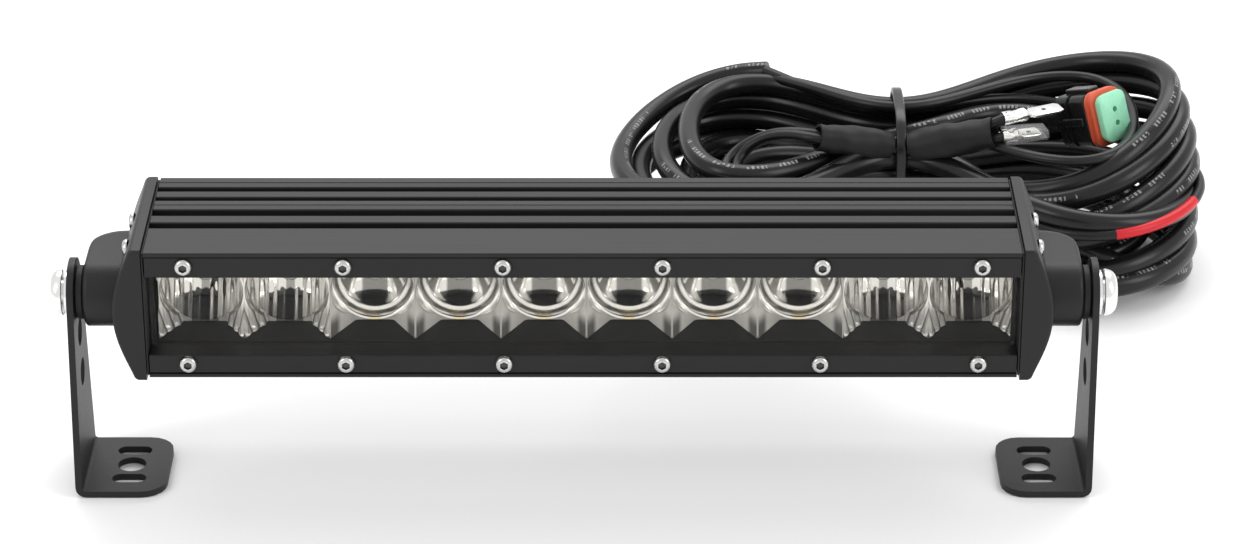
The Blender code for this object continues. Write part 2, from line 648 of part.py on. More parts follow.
def make_hank(finish, tie_finish):
    """The outer shape of the folded cable, with room for the plug and sleeves, and the tie."""
    shares = (-0.99, -0.96, -0.9, -0.8, -0.66, -0.5, -0.36, -0.24, -0.14, -0.06)
    xs = [HANK_X + HANK_HALF_LONG * u for u in (*shares, 0.0, *[-u for u in shares[::-1]])]
    hank = add("cable_hank", loft([hank_section(x, 0.0) for x in xs]), finish)
    shift = Vector((0, AXIS_Y, 0))
    low = Vector((WELL_X[0], WELL_Y[0], WELL_FLOOR)) + shift
    high = Vector((WELL_X[1], WELL_Y[1], 80 * MM)) + shift
    outline = [(x, y) for x, y in rounded_box((low.x, low.y), (high.x, high.y), 12 * MM)]
    boolean(hank, add("cut_hank_well", prism(outline, low.z, high.z, "Z"), None))
    for name, start, end, radius in SLEEVES:
        way = (end - start).normalized()
        profile = [(-GAP, radius + GAP), ((end - start).length + 12 * MM, radius + GAP)]
        channel = add(f"cut_hank_{name}", turned(profile, "X", steps=18), None)
        aimed(channel, start, way)
        boolean(hank, channel)
    rings = []
    outer = TIE_SWELL + TIE_THICK
    for side, swell in ((-1, TIE_SWELL), (1, TIE_SWELL), (1, outer), (-1, outer)):
        rings.append([(x + side * TIE_WIDE / 2, y, z) for x, y, z in hank_section(HANK_X, swell)])
    add("cable_tie", loft(rings, closed=True), tie_finish)


def aimed(obj, place, aim):
    """Turns a piece that is modelled along +X to its aim, at a place measured from under the bolt axis."""
    obj.rotation_euler = aim.to_track_quat("X", "Z").to_euler()
    obj.location = place + Vector((0, AXIS_Y, 0))


def make_plug(body_finish, seal_finish, wedge_finish):
    """A two-way plug: a moulded body, the seal round its nose and the wedge with two pin holes."""

    def ring(half_y, half_z, radius, x):
        outline = rounded_box((-half_y * MM, -half_z * MM), (half_y * MM, half_z * MM), radius * MM)
        return [(x * MM, y, z) for y, z in outline]

    body = [ring(3.9, 3.9, 3.7, -30), ring(4.6, 4.6, 4.2, -20)]
    body += [ring(6.6, 8.6, 3.4, -19), ring(6.6, 8.6, 3.4, -5.2)]
    aimed(add("plug_body", loft(body), body_finish), PLUG_PLACE, PLUG_AIM)
    seal = [ring(7.2, 9.2, 3.8, -4.9), ring(7.2, 9.2, 3.8, -1.4)]
    aimed(add("plug_seal", loft(seal), seal_finish), PLUG_PLACE, PLUG_AIM)
    wedge = add("plug_wedge", loft([ring(6.0, 8.2, 3.0, -1.1), ring(6.0, 8.2, 3.0, 1.4)]), wedge_finish)
    aimed(wedge, PLUG_PLACE, PLUG_AIM)
    holes = bores("cut_plug_wedge", [(0, -2.3 * MM), (0, 2.3 * MM)], 0.9 * MM, 0, 3 * MM, "X", None)
    aimed(holes, PLUG_PLACE, PLUG_AIM)
    boolean(wedge, holes)


def make_sleeves(finish):
    """The heat-shrink sleeve over the battery wires on each side of the tie."""
    for name, start, end, radius in SLEEVES:
        long = (end - start).length
        profile = [(0, 0.92 * radius), (0.3 * long, radius), (0.85 * long, radius), (long, 0.94 * radius)]
        aimed(add(name, turned(profile, "X", steps=14), finish), start, (end - start).normalized())


def make_terminals(steel):
    """The two blade terminals: a round crimp that flattens into a blade."""
    for name, start, aim, long in TERMINALS:
        crimp = rounded_box((-2.3 * MM, -2.1 * MM), (2.3 * MM, 2.1 * MM), 1.8 * MM, 2)
        blade = rounded_box((-3.1 * MM, -0.9 * MM), (3.1 * MM, 0.9 * MM), 0.8 * MM, 2)
        rings = ((0, crimp), (0.42 * long, crimp), (0.52 * long, blade), (long, blade))
        shape = loft([[(x, y, z) for y, z in ring] for x, ring in rings])
        aimed(add(name, shape, steel), start, aim.normalized())


def make_gland(finish, rubber, parent):
    """A hexagonal gland screwed into the back wall, and the tapered strain relief of the cable."""
    hexagon = [(GLAND_X + x, z) for x, z in arc((0, 0), 7.6 * MM, 0, 300, 5)]
    gland = add("cable_gland", prism(hexagon, GLAND_POCKET_Y + GAP, 39.0 * MM, "Y"), finish, parent)
    seat = GLAND_POCKET_Y / MM + 1
    nose = [(29.4, 4.2), (seat, 4.2), (seat, 6.3), (42, 6.3), (45, 5.4), (46, 4.6)]
    profile = [(y * MM, r * MM) for y, r in nose]
    boolean(gland, add("join_gland_nose", turned(profile, "Y", (GLAND_X, 0), 16), None, parent), "UNION")
    start = GLAND_END + GAP
    profile = [(start, 6.0 * MM), (start + 2 * MM, 6.0 * MM), (start + RELIEF_LONG, CABLE_R + 0.6 * MM)]
    add("strain_relief", turned(profile, "Y", (GLAND_X, 0), 16), rubber, parent)


# ---------------------------------------------------------------- the whole object


def main():
    clear_scene()
    black = material("black_powder_coat", (0.022, 0.022, 0.023), 0.42)
    anodised = material("black_anodised", (0.035, 0.035, 0.037), 0.45)
    bright = material("bright_steel", (0.78, 0.78, 0.77), 0.18, 1.0)
    stainless = material("stainless_screw", (0.62, 0.62, 0.61), 0.28, 1.0)
    silicone = material("black_silicone", (0.03, 0.03, 0.03), 0.7)
    rubber = material("black_rubber", (0.02, 0.02, 0.02), 0.6)
    clear = material("clear_polycarbonate", (0.92, 0.94, 0.95), 0.05)
    mirror = material("metallised_plastic", (0.86, 0.85, 0.82), 0.12, 1.0)
    board = material("white_solder_mask", (0.75, 0.75, 0.72), 0.5)
    driver = material("green_solder_mask", (0.05, 0.22, 0.10), 0.5)
    nylon = material("black_nylon", (0.025, 0.025, 0.025), 0.4)
    jacket = material("cable_jacket", (0.018, 0.018, 0.018), 0.45)
    orange = material("orange_seal", (0.60, 0.12, 0.05), 0.5)
    mint = material("mint_wedge", (0.38, 0.72, 0.48), 0.45)

    axis = empty("bolt_axis", (0, AXIS_Y, AXIS_HEIGHT))
    make_housing(anodised, axis)
    sides = (("left", -1), ("right", 1))
    for name, side in sides:
        make_end_cap(f"end_cap_{name}", side, black, axis)
        make_end_gasket(f"end_gasket_{name}", side, silicone, axis)
        face = CAP_BASE + CAP_SCREW_SEAT + GAP
        for i, center in enumerate(CAP_SCREW_YZ, 1):
            screw(f"cap_screw_{name}_{i}", "X", side * face, side, center, CAP_SCREW_LONG, stainless, axis, 10)

    outer = HALF_HEIGHT - LIP - GAP
    make_rail("clamp_rail_upper", UPPER_RAIL_EDGE, outer, UPPER_SCREW_Z, anodised, axis)
    make_rail("clamp_rail_lower", LOWER_RAIL_EDGE, -outer, LOWER_SCREW_Z, anodised, axis)
    for name, z in (("upper", UPPER_SCREW_Z), ("lower", LOWER_SCREW_Z)):
        for i, x in enumerate(RAIL_SCREW_X, 1):
            face = RAIL_FRONT - GAP
            screw(f"rail_screw_{name}_{i}", "Y", face, -1, (x, z), RAIL_SCREW_LONG, stainless, axis, 10)
    make_lens(clear, silicone, axis)
    make_reflector("reflector_flood_left", 0, 1, mirror, axis)
    make_reflector("reflector_spot", 2, 7, mirror, axis)
    make_reflector("reflector_flood_right", 8, 9, mirror, axis)
    make_boards(board, driver, axis)

    for i, (x, z) in enumerate(BOARD_SCREWS, 1):
        screw(f"board_screw_{i}", "Y", BOARD_FRONT - GAP, -1, (x, z), 4.0 * MM, stainless, axis, 8)

    for name, side in sides:
        make_bracket(f"bracket_{name}", side, black, axis)
        make_fixings(name, side, bright, rubber, axis)

    make_gland(nylon, rubber, axis)
    make_lead(jacket)
    make_hank(jacket, nylon)
    make_plug(nylon, orange, mint)
    make_sleeves(rubber)
    make_terminals(bright)


main()
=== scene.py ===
import json
import math

import bmesh
import bpy
import numpy as np
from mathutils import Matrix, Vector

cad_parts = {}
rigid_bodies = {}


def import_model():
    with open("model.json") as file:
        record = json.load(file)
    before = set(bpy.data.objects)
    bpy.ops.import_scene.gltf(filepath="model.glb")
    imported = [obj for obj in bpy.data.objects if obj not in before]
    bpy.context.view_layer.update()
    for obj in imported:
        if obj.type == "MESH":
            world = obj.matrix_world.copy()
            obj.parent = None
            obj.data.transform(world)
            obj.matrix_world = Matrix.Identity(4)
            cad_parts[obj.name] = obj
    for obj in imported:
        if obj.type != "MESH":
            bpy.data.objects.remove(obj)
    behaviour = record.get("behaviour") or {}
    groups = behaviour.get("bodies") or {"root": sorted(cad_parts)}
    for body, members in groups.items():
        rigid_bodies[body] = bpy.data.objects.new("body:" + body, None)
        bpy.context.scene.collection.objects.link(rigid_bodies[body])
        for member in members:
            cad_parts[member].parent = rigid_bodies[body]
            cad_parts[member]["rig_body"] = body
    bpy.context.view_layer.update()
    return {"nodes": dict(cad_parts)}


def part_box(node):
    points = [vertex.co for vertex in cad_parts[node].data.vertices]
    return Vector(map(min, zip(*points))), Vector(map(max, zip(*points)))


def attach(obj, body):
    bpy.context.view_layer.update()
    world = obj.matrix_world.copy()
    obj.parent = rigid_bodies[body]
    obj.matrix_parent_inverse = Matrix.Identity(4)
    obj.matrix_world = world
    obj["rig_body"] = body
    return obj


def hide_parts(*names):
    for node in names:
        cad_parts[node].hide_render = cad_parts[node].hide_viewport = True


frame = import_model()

scene = bpy.context.scene

# ---------------------------------------------------------------- camera, floor and light
# A product table: white floor, a long softbox above and behind that lights the top faces,
# two weaker ones at the sides, and a camera over a metre off that looks down on the lamp's front.

eye = bpy.data.objects.new("camera", bpy.data.cameras.new("camera"))
eye.location = (0.0121, -1.0651, 0.5904)
eye.rotation_euler = (math.radians(63.5), 0, 0)
eye.data.sensor_width = 36
eye.data.lens = 115.3
eye.data.clip_start = 0.01
scene.collection.objects.link(eye)
scene.camera = eye
scene.view_settings.view_transform = "Standard"


class Socket:
    """The output of a shader node. Arithmetic on it adds Math nodes to the same material."""

    def __init__(self, finish, output):
        self.finish, self.output = finish, output

    def maths(self, operation, *others):
        values = dict(enumerate((self, *others)))
        return self.finish.node("ShaderNodeMath", {"operation": operation}, values)

    def __add__(self, other):
        return self.maths("ADD", other)

    def __mul__(self, other):
        return self.maths("MULTIPLY", other)

    def __sub__(self, other):
        return self.maths("SUBTRACT", other)

    def __rsub__(self, other):
        return self.finish.node("ShaderNodeMath", {"operation": "SUBTRACT"}, {0: other, 1: self})

    def __truediv__(self, other):
        return self.maths("DIVIDE", other)

    def __pow__(self, other):
        return self.maths("POWER", other)

    def __gt__(self, other):
        return self.maths("GREATER_THAN", other)

    def __lt__(self, other):
        return self.maths("LESS_THAN", other)

    def ramp(self, low, high):
        """0 below low, 1 above high and a smooth step between."""
        values = {"Value": self, "From Min": low, "From Max": high}
        return self.finish.node("ShaderNodeMapRange", {"interpolation_type": "SMOOTHSTEP"}, values)

    __radd__, __rmul__ = __add__, __mul__


class Finish:
    """A material of one Principled shader: constants go on its sockets, and nodes are added to it."""

    def __init__(self, name, **constants):
        self.material = bpy.data.materials.new(name)
        self.material.use_nodes = True
        self.nodes = self.material.node_tree.nodes
        self.shader = self.nodes["Principled BSDF"]
        self.set(**constants)

    def feed(self, socket, value):
        """Links a wrapped socket, or sets a plain value."""
        if isinstance(value, Socket):
            self.material.node_tree.links.new(value.output, socket)
        else:
            socket.default_value = value

    def node(self, kind, settings=None, inputs=None, output=0):
        """Adds a node of a kind, with its settings first and then its sockets, and wraps an output."""
        made = self.nodes.new(kind)
        for field, value in (settings or {}).items():
            setattr(made, field, value)
        for socket, value in (inputs or {}).items():
            self.feed(made.inputs[socket], value)
        return Socket(self, made.outputs[output])

    def place(self, scale=(1, 1, 1)):
        """The piece's own coordinates in metres, stretched by a factor along each axis."""
        where = self.node("ShaderNodeTexCoord", output="Object")
        return self.node("ShaderNodeMapping", inputs={"Vector": where, "Scale": scale})

    def noise(self, per_metre, detail=2.0, stretch=(1, 1, 1)):
        """Cloudy values about a half, with so many lumps to a metre."""
        values = {"Vector": self.place(stretch), "Scale": per_metre, "Detail": detail}
        return self.node("ShaderNodeTexNoise", inputs=values)

    def marks(self):
        """The three numbers that each point of a piece carries, as one socket each."""
        lay = self.node("ShaderNodeAttribute", {"attribute_name": "lay"}, output="Vector")
        return [self.node("ShaderNodeSeparateXYZ", inputs={0: lay}, output=axis) for axis in "XYZ"]

    def between(self, share, first, second):
        """A colour that goes from the first to the second as the share goes from 0 to 1."""
        values = {0: share, 6: (*first, 1) if isinstance(first, tuple) else first}
        values[7] = (*second, 1) if isinstance(second, tuple) else second
        return self.node("ShaderNodeMix", {"data_type": "RGBA"}, values, 2)

    def relief(self, height, millimetres, strength):
        """A Bump node on the shader's Normal. Its height of 0 to 1 stands for so many millimetres."""
        values = {"Height": height, "Distance": millimetres * 0.001, "Strength": strength}
        self.feed(self.shader.inputs["Normal"], self.node("ShaderNodeBump", inputs=values))

    def mottled(self, per_metre, detail, first, second):
        """A base colour that drifts between two in cloudy patches."""
        self.set(Base_Color=self.between(self.noise(per_metre, detail), first, second))

    def set(self, **values):
        """Feeds the shader's own sockets, named with an underscore for each space."""
        for socket, value in values.items():
            self.feed(self.shader.inputs[socket.replace("_", " ")], value)


white_floor = Finish("white_floor", Base_Color=(0.9, 0.9, 0.9, 1), Roughness=0.9)
floor = bpy.data.objects.new("floor", bpy.data.meshes.new("floor"))
floor_corners = [(x, y, -0.0003) for x, y in ((-4, -4), (4, -4), (4, 5), (-4, 5))]
floor.data.from_pydata(floor_corners, [], [(0, 1, 2, 3)])
floor.data.materials.append(white_floor.material)
scene.collection.objects.link(floor)

sky = bpy.data.worlds.new("studio")
sky.use_nodes = True
sky.node_tree.nodes["Background"].inputs["Color"].default_value = (1, 1, 1, 1)
sky.node_tree.nodes["Background"].inputs["Strength"].default_value = 0.95
scene.world = sky


def softbox(name, place, aim, size, power):
    """A rectangular area light at a place, turned to face the point that it is aimed at."""
    lamp = bpy.data.objects.new(name, bpy.data.lights.new(name, "AREA"))
    lamp.data.shape = "RECTANGLE"
    lamp.data.size, lamp.data.size_y = size
    lamp.data.energy = power
    lamp.location = place
    way = Vector(aim) - Vector(place)
    lamp.rotation_euler = way.to_track_quat("-Z", "Y").to_euler()
    scene.collection.objects.link(lamp)


softbox("rear_softbox", (0.1, 0.9, 1.1), (0, 0, 0.04), (1.8, 0.8), 14)
softbox("left_softbox", (-1.1, -0.7, 0.9), (0, 0, 0.05), (0.5, 0.9), 5)
softbox("right_softbox", (1.2, -0.5, 0.8), (0.05, 0, 0.05), (0.5, 0.9), 6)

# ---------------------------------------------------------------- harness lead
# Round cable, PVC over two cores, glossy and nearly black, with a faint printed line of ticks.
# It leaves the gland, drops behind the lamp and is folded into a hank that one tie draws in at
# the waist. Its far end is crimped into the two-way plug.

MM = 0.001
bolt_low, bolt_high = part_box("mounting_bolt_right")
AXIS = np.array([0.0, (bolt_low.y + bolt_high.y) / 2, (bolt_low.z + bolt_high.z) / 2])
CABLE_WIDE = 7.3
HANK_X, HANK_Y, HANK_HALF = 103.5, 168.0, 97.5
WAIST_SHARE = 0.36


def on_ground(points):
    """Millimetres across, back from the bolt axis and up from the floor, as metres in the frame:
    times a thousandth, plus the axis but not its height."""
    return np.asarray(points, float) * MM + AXIS * (1, 1, 0)


def on_bar(points):
    """Millimetres from the bolt axis, as metres in the frame: times a thousandth, plus the axis."""
    return np.asarray(points, float) * MM + AXIS


def unit(vectors):
    """The same directions, each one long."""
    vectors = np.asarray(vectors, float)
    return vectors / np.linalg.norm(vectors, axis=-1, keepdims=True)


def piece(name, sheets, material, crease=40, marks=None):
    """One mesh from grids of points in metres, each (points, rows wrap, columns wrap). A grid's
    quads join neighbouring rows and columns. Points that fall together are merged, the faces are
    turned outwards, and edges sharper than the crease angle stay sharp. Marks are one vector for
    each point."""
    corners, start, faces = [], 0, []
    for points, rows_wrap, columns_wrap in sheets:
        rows, columns = points.shape[:2]
        i = np.arange(rows if rows_wrap else rows - 1)[:, None]
        j = np.arange(columns if columns_wrap else columns - 1)[None, :]
        down, right = (i + 1) % rows, (j + 1) % columns
        quads = (i * columns + j, i * columns + right, down * columns + right, down * columns + j)
        faces.append(start + np.stack(np.broadcast_arrays(*quads), -1).reshape(-1, 4))
        corners.append(points.reshape(-1, 3))
        start += rows * columns
    mesh = bpy.data.meshes.new(name)
    mesh.from_pydata(np.concatenate(corners), [], np.concatenate(faces).tolist())
    if marks is not None:
        lay = mesh.attributes.new("lay", "FLOAT_VECTOR", "POINT")
        lay.data.foreach_set("vector", np.asarray(marks, np.float32).ravel())
    work = bmesh.new()
    work.from_mesh(mesh)
    bmesh.ops.remove_doubles(work, verts=work.verts, dist=2e-7)
    bmesh.ops.dissolve_degenerate(work, edges=work.edges, dist=1e-7)
    bmesh.ops.recalc_face_normals(work, faces=work.faces)
    work.to_mesh(mesh)
    work.free()
    mesh.shade_smooth()
    mesh.set_sharp_from_angle(angle=math.radians(crease))
    mesh.materials.append(material)
    made = bpy.data.objects.new(name, mesh)
    scene.collection.objects.link(made)
    return made


def stands_for(made, slot, *nodes, body=None):
    """The piece rides on the body of the nodes that it stands for. The slot is not used."""
    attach(made, body or frame["nodes"][nodes[0]]["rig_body"])
    if nodes:
        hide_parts(*nodes)
    return made


def eased(t, values):
    """Values given at whole numbers of t, joined by smooth steps that are level at each of them."""
    values = np.asarray(values, float)
    i = np.clip(np.floor(t).astype(int), 0, len(values) - 2)
    share = np.clip(t - i, 0, 1)
    share = share * share * (3 - 2 * share)
    return values[i] * (1 - share) + values[i + 1] * share


def spaced(line, step):
    """The same line with its points about a step apart."""
    along = np.concatenate([[0], np.cumsum(np.linalg.norm(np.diff(line, axis=0), axis=1))])
    at = np.linspace(0, along[-1], int(along[-1] / step) + 2)
    return np.stack([np.interp(at, along, line[:, k]) for k in range(3)], 1)


def relaxed(line, step, window):
    """A line drawn through the running mean of its points over a window, its ends held where they are."""
    line = spaced(line, step)
    half = int(window / step / 2)
    ends = [2 * line[0] - line[half:0:-1], line, 2 * line[-1] - line[-2 : -half - 2 : -1]]
    long = np.concatenate(ends)
    weights = np.hanning(2 * half + 3)[1:-1]
    weights /= weights.sum()
    return np.stack([np.convolve(long[:, k], weights, "valid") for k in range(3)], 1)


def hank_middle(u):
    """The hank's middle line comes forward of the tie by 16 on the right and 6 on the left, by one
    minus a bell of the share u of its half length."""
    return HANK_Y - np.where(u > 0, 16.0, 6.0) * (1 - np.exp(-((u / 0.4) ** 2)))


def folded(start, end, quarters):
    """The centreline of a cable folded round the hank. A turn is four quarters: at quarter 0 it is
    at the right end, at 1 it passes the waist at the back, at 2 the left end, at 3 the waist at the
    front. Along X it is a cosine of the quarters, times the reach. In a lobe it lies at a full sine
    times the width, plus a shift, and in the waist at its own slot. A smooth bell in X goes from
    one to the other. Each row of quarters is reach, width, slot, shift and height."""
    t = np.linspace(start, end, int(abs(end - start) * 40) + 2)
    reach, width, slot, shift, height = (eased(t, column) for column in np.asarray(quarters, float).T)
    turn = t * np.pi / 2
    x = HANK_X + reach * np.cos(turn)
    u = (x - HANK_X) / HANK_HALF
    lobe = 1 - np.exp(-((u / WAIST_SHARE) ** 2))
    y = lobe * (shift + width * np.sin(turn) * np.sqrt(1 + np.cos(turn) ** 2)) + (1 - lobe) * slot
    return np.stack([x, hank_middle(u) + y, height], 1)


def through(points, per_span=12):
    """A Catmull-Rom curve through the points: a cubic for each span, whose slope at each point is
    half the step from the point before to the point after."""
    points = np.asarray(points, float)
    ends = np.concatenate([2 * points[:1] - points[1:2], points, 2 * points[-1:] - points[-2:-1]])
    a, b, c, d = (ends[k : len(ends) - 3 + k][:, None] for k in range(4))
    t = (np.arange(per_span) / per_span)[None, :, None]
    square, cube = 2 * a - 5 * b + 4 * c - d, 3 * b - a - 3 * c + d
    curve = 0.5 * (2 * b + (c - a) * t + square * t**2 + cube * t**3)
    return np.concatenate([curve.reshape(-1, 3), points[-1:]])


def tube(name, line, wide, material, columns=16):
    """A round tube on a line of points in metres: a ring of so many columns lies across the line at
    each point. The mark on each point is the cosine and sine of its place round the ring, and its
    distance along the tube. Both ends are drawn in to their middles."""
    tangent = unit(np.gradient(line, axis=0))
    side = unit(np.cross(tangent, (0.11, 0.23, 0.97)))
    over = np.cross(side, tangent)
    angle = np.arange(columns) * 2 * np.pi / columns
    around = np.stack([np.cos(angle), np.sin(angle)])
    along = np.concatenate([[0], np.cumsum(np.linalg.norm(np.diff(line, axis=0), axis=1))])
    ring = side[:, None] * around[0][None, :, None] + over[:, None] * around[1][None, :, None]
    rings = line[:, None] + ring * wide / 2
    caps = [np.repeat(line[k][None, None], columns, 1) for k in (0, -1)]
    near = line[0] + (rings[:1] - line[0]) * 0.75, line[-1] + (rings[-1:] - line[-1]) * 0.75
    points = np.concatenate([caps[0], near[0], rings, near[1], caps[1]])
    far = np.concatenate([[0, 0], along, along[-1:], along[-1:]])
    shape = points.shape[:2]
    marks = np.stack(np.broadcast_arrays(around[0][None], around[1][None], far[:, None]), -1)
    return piece(name, [(points, False, True)], material, marks=marks.reshape(shape[0] * shape[1], 3))


def jacket(name, colour, gloss, printed, bare=None):
    """PVC cable jacket: fine grain, slow dull patches where it was handled, and, when printed,
    a broken line of pale ticks that wanders slowly round the cable: so many to the metre, in groups
    and in longer runs. A wire may be bare of its black sleeving between two distances along it."""
    pvc = Finish(name, Specular_IOR_Level=0.3)
    cosine, sine, along = pvc.marks()
    dull = pvc.noise(60, 3)
    grain = pvc.noise(1500, 2)
    base = pvc.between(dull, colour, tuple(1.5 * c for c in colour))
    if printed:
        angle = sine.maths("ARCTAN2", cosine)
        wander = (along * 5).maths("SINE") * 0.4 + 0.75
        off = (angle - wander).maths("ABSOLUTE")
        ticks, groups, runs = 640, 91, 11
        tick = ((along * ticks).maths("FRACT") < 0.55) * ((along * groups).maths("FRACT") < 0.72)
        run = (along * runs).maths("FRACT") < 0.6
        stroke = (off < 0.2) * tick * run * (pvc.noise(900, 1) > 0.42)
        base = pvc.between(stroke * 0.55, base, (0.35, 0.35, 0.34))
    if bare:
        shown = (along > bare[0]) * (along < bare[1])
        base = pvc.between(shown, (0.006, 0.006, 0.0065), base)
    pvc.set(Base_Color=base, Roughness=gloss + dull * 0.16)
    pvc.relief(grain * 0.5 + dull * 2.0, 0.05, 0.5)
    return pvc.material


cable_black = jacket("cable_jacket", (0.0055, 0.0055, 0.006), 0.2, True)

# The lead leaves the strain relief level, drops in an S and goes in at the hank's front.
lead_drop = [
    (50.0, 55.0, 60.0), (50.0, 66.6, 60.0), (50.0, 70.0, 59.9), (50.3, 75.5, 58.2),
    (50.9, 80.5, 54.8), (51.5, 85.5, 50.0), (52.2, 92.5, 43.0), (52.9, 100.5, 35.0),
    (54.5, 110.5, 26.5), (60.0, 119.5, 18.5), (70.0, 130.0, 12.5), (84.0, 140.0, 10.0),
]

# Then nine turns. The first two are small and fill the lobes. The right ends of the others are
# piled up and lean back as they rise, and their left ends lie in two layers, each smaller turn
# inside the last. Each list below has one value for each turn.
TURNS = 9
LEAN = 0.68
waist_reach = [74] * 2 + [88] * (TURNS - 2)
right_high = np.array([16.5, 23.0, 4.2, 11.4, 18.8, 33.0, 40.2, 47.2, 53.4])
right_ends = [
    [80, 85, 93, 94.5, 95, 96, 95, 93, 90],
    [38.5, 40, 44, 44, 44, 44, 44, 44, 44],
    [0] * TURNS,
    np.concatenate([[-9, -2], -21 + LEAN * right_high[2:]]),
    right_high,
]
back_waist = [
    waist_reach,
    [34, 28, 46, 46, 47, 50, 50, 49, 46],
    [0, 0, 14.5, 7.2, 14.5, 7.2, 14.5, 14.5, 13],
    [-6, -4, -7, -5, -2, 1, 3, 5, 6],
    [16.5, 24, 8, 8, 16.5, 16.0, 23, 30.5, 38],
]
left_ends = [
    [68, 60, 87, 77, 70, 89, 86.5, 79, 70],
    [32, 30, 45, 42, 40, 47, 46, 44, 40],
    [0] * TURNS,
    [0, 0, 0, 1, 1, 2, 3, 3, 3],
    [5.0, 13.0, 4.2, 11.5, 19.0, 15.5, 22.5, 30.5, 36.0],
]
front_waist = [
    waist_reach,
    [34, 28, 50, 50, 48, 46, 43, 40, 36],
    [0, 0, -14.5, -7.2, -14.5, -7.2, -14.0, -7.0, -2.5],
    [-6, -4, -9, -7, -5, -3, 0, 2, 2],
    [14, 30, 8, 8, 16, 16, 24, 24.5, 33],
]
turns = np.array([right_ends, back_waist, left_ends, front_waist], float).transpose(2, 0, 1).reshape(-1, 5)
lead_in = [[88, 46, 0, -6, 5], [88, 46, 10, 0, 9], [88, 46, 0, 0, 8], [80, 40, -14.5, -6, 9.5]]
lead_out = [[88, 34, 0, 3, 40]]
quarters = np.concatenate([lead_in, turns, lead_out])
to_plug = [
    (116.0, 164.0, 38.5), (129.0, 175.0, 37.5), (143.0, 179.0, 37.2), (151.5, 174.5, 38.0),
    (155.8, 169.2, 39.5),
]
lead_turns = folded(3.0, 3.0 + 4 * TURNS - 0.08, quarters)
lead_line = np.concatenate([through(lead_drop)[:-1], lead_turns, through(to_plug)])
lead_line = on_ground(relaxed(lead_line, 2.0, 24))
harness_lead = tube("harness_lead", lead_line, CABLE_WIDE * MM, cable_black)
stands_for(harness_lead, "cable_jacket", "lead_cable", "cable_hank")

# ---------------------------------------------------------------- battery lead and its wires
# The battery half of the harness lies in the same hank. Its jacket is cut back above the left
# lobe, where two single wires come out. They go on through the waist and round the right lobe,
# and back to the sleeves on the near side. One is red where its black sleeving ends.

WIRE_WIDE = 3.6
wire_black = jacket("wire_insulation_black", (0.007, 0.007, 0.0075), 0.24, False)
wire_red = jacket("wire_insulation_red", (0.42, 0.008, 0.014), 0.28, False, (0.200, 0.236))

# Quarters 5 to 9, followed backwards.
battery_quarters = [[88, 50, 0, 0, 20]] * 5 + [
    [90, 50, 8, 9, 43.5], [93, 48, 0, 1, 26.5], [90, 46, -14, -4, 32.5], [95.5, 48, 0, -5, 26.0],
    [90, 50, 7, -2, 29.5],
]
battery_line = on_ground(relaxed(folded(9.0, 5.31, battery_quarters), 2.0, 24))
battery_lead = tube("battery_lead", battery_line, CABLE_WIDE * MM, cable_black)
harness_body = frame["nodes"]["cable_hank"]["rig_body"]
stands_for(battery_lead, "cable_jacket", body=harness_body)


def wire_route(side, front_width, back_width, reach, shift, high, waist_high, front_high):
    """One wire's centreline: from the cut jacket round the right lobe as quarters 5.2 to 3.1, then
    through points on the near side. The side, 1 or -1, keeps the two wires next to each other."""
    quarters = [[0, 0, 0, 0, 0]] * 3 + [
        [88, front_width, -4 + 2 * side, shift * 0.6, front_high],
        [reach, 46, 0, shift, high],
        [88, back_width, 3 + 2 * side, shift * 0.4, waist_high],
        [88, 50, 9, 9, 40],
    ]
    near_side = [
        (91, 149 + side, 0.6 * front_high + 13), (78, 142 + side, 0.3 * front_high + 21),
        (65, 138 + side, 29), (54 + side, 140 + side, 28.5), (47 + 2 * side, 148, 29.5),
        (50 + side, 156 - side, 33), (58, 156 - side, 38.5), (67, 150.5 - side, 42.5),
        (77, 145.8 - 1.8 * side, 43.2), (99.5, 152.3 - 1.6 * side, 37.5),
        (107.5, 151.4 - 1.6 * side, 37.3), (132.6, 143.9 + 0.9 * side, 46.2 + 2.4 * side),
        (138, 143.8 + 1.2 * side, 48.4 + 2.7 * side),
    ]
    start = (battery_line[-1] - AXIS * (1, 1, 0)) / MM + (-2, 0, side)
    return np.concatenate([[start], folded(5.2, 3.1, quarters), through(near_side)])


red_line = on_ground(relaxed(wire_route(1, 50, 44, 98.0, -9.0, 29.4, 41.5, 25.0), 1.4, 11))
black_line = on_ground(relaxed(wire_route(-1, 34, 36, 77.0, 8.0, 46.0, 43.8, 41.0), 1.4, 11))
harness_wire_red = tube("harness_wire_red", red_line, WIRE_WIDE * MM, wire_red, 12)
harness_wire_black = tube("harness_wire_black", black_line, WIRE_WIDE * MM, wire_black, 12)
stands_for(harness_wire_red, "cable_jacket", body=harness_body)
stands_for(harness_wire_black, "cable_jacket", body=harness_body)

# ---------------------------------------------------------------- strain relief
# A soft tapered rubber sleeve with moulded grooves, pushed into the gland's nose. The lead runs
# through it.


def turned(profile, place, axis, columns=48):
    """A profile of (distance along the axis, radius) rows turned about an axis through the place:
    the place, plus the distance along the axis, plus the radius at each angle across it. The axis
    is a unit vector, and a row may hold a radius for each column."""
    axis = np.asarray(axis, float)
    side = unit(np.cross(axis, (0.0, 0.0, 1.0) if abs(axis[2]) < 0.9 else (1.0, 0.0, 0.0)))
    over = np.cross(side, axis)
    angle = np.arange(columns) * 2 * np.pi / columns
    along = np.array([row[0] for row in profile], float)[:, None]
    radius = np.stack([np.broadcast_to(np.asarray(row[1], float), columns) for row in profile])
    ring = side * np.cos(angle)[:, None] + over * np.sin(angle)[:, None]
    return np.asarray(place, float) + along[..., None] * axis + radius[..., None] * ring[None]


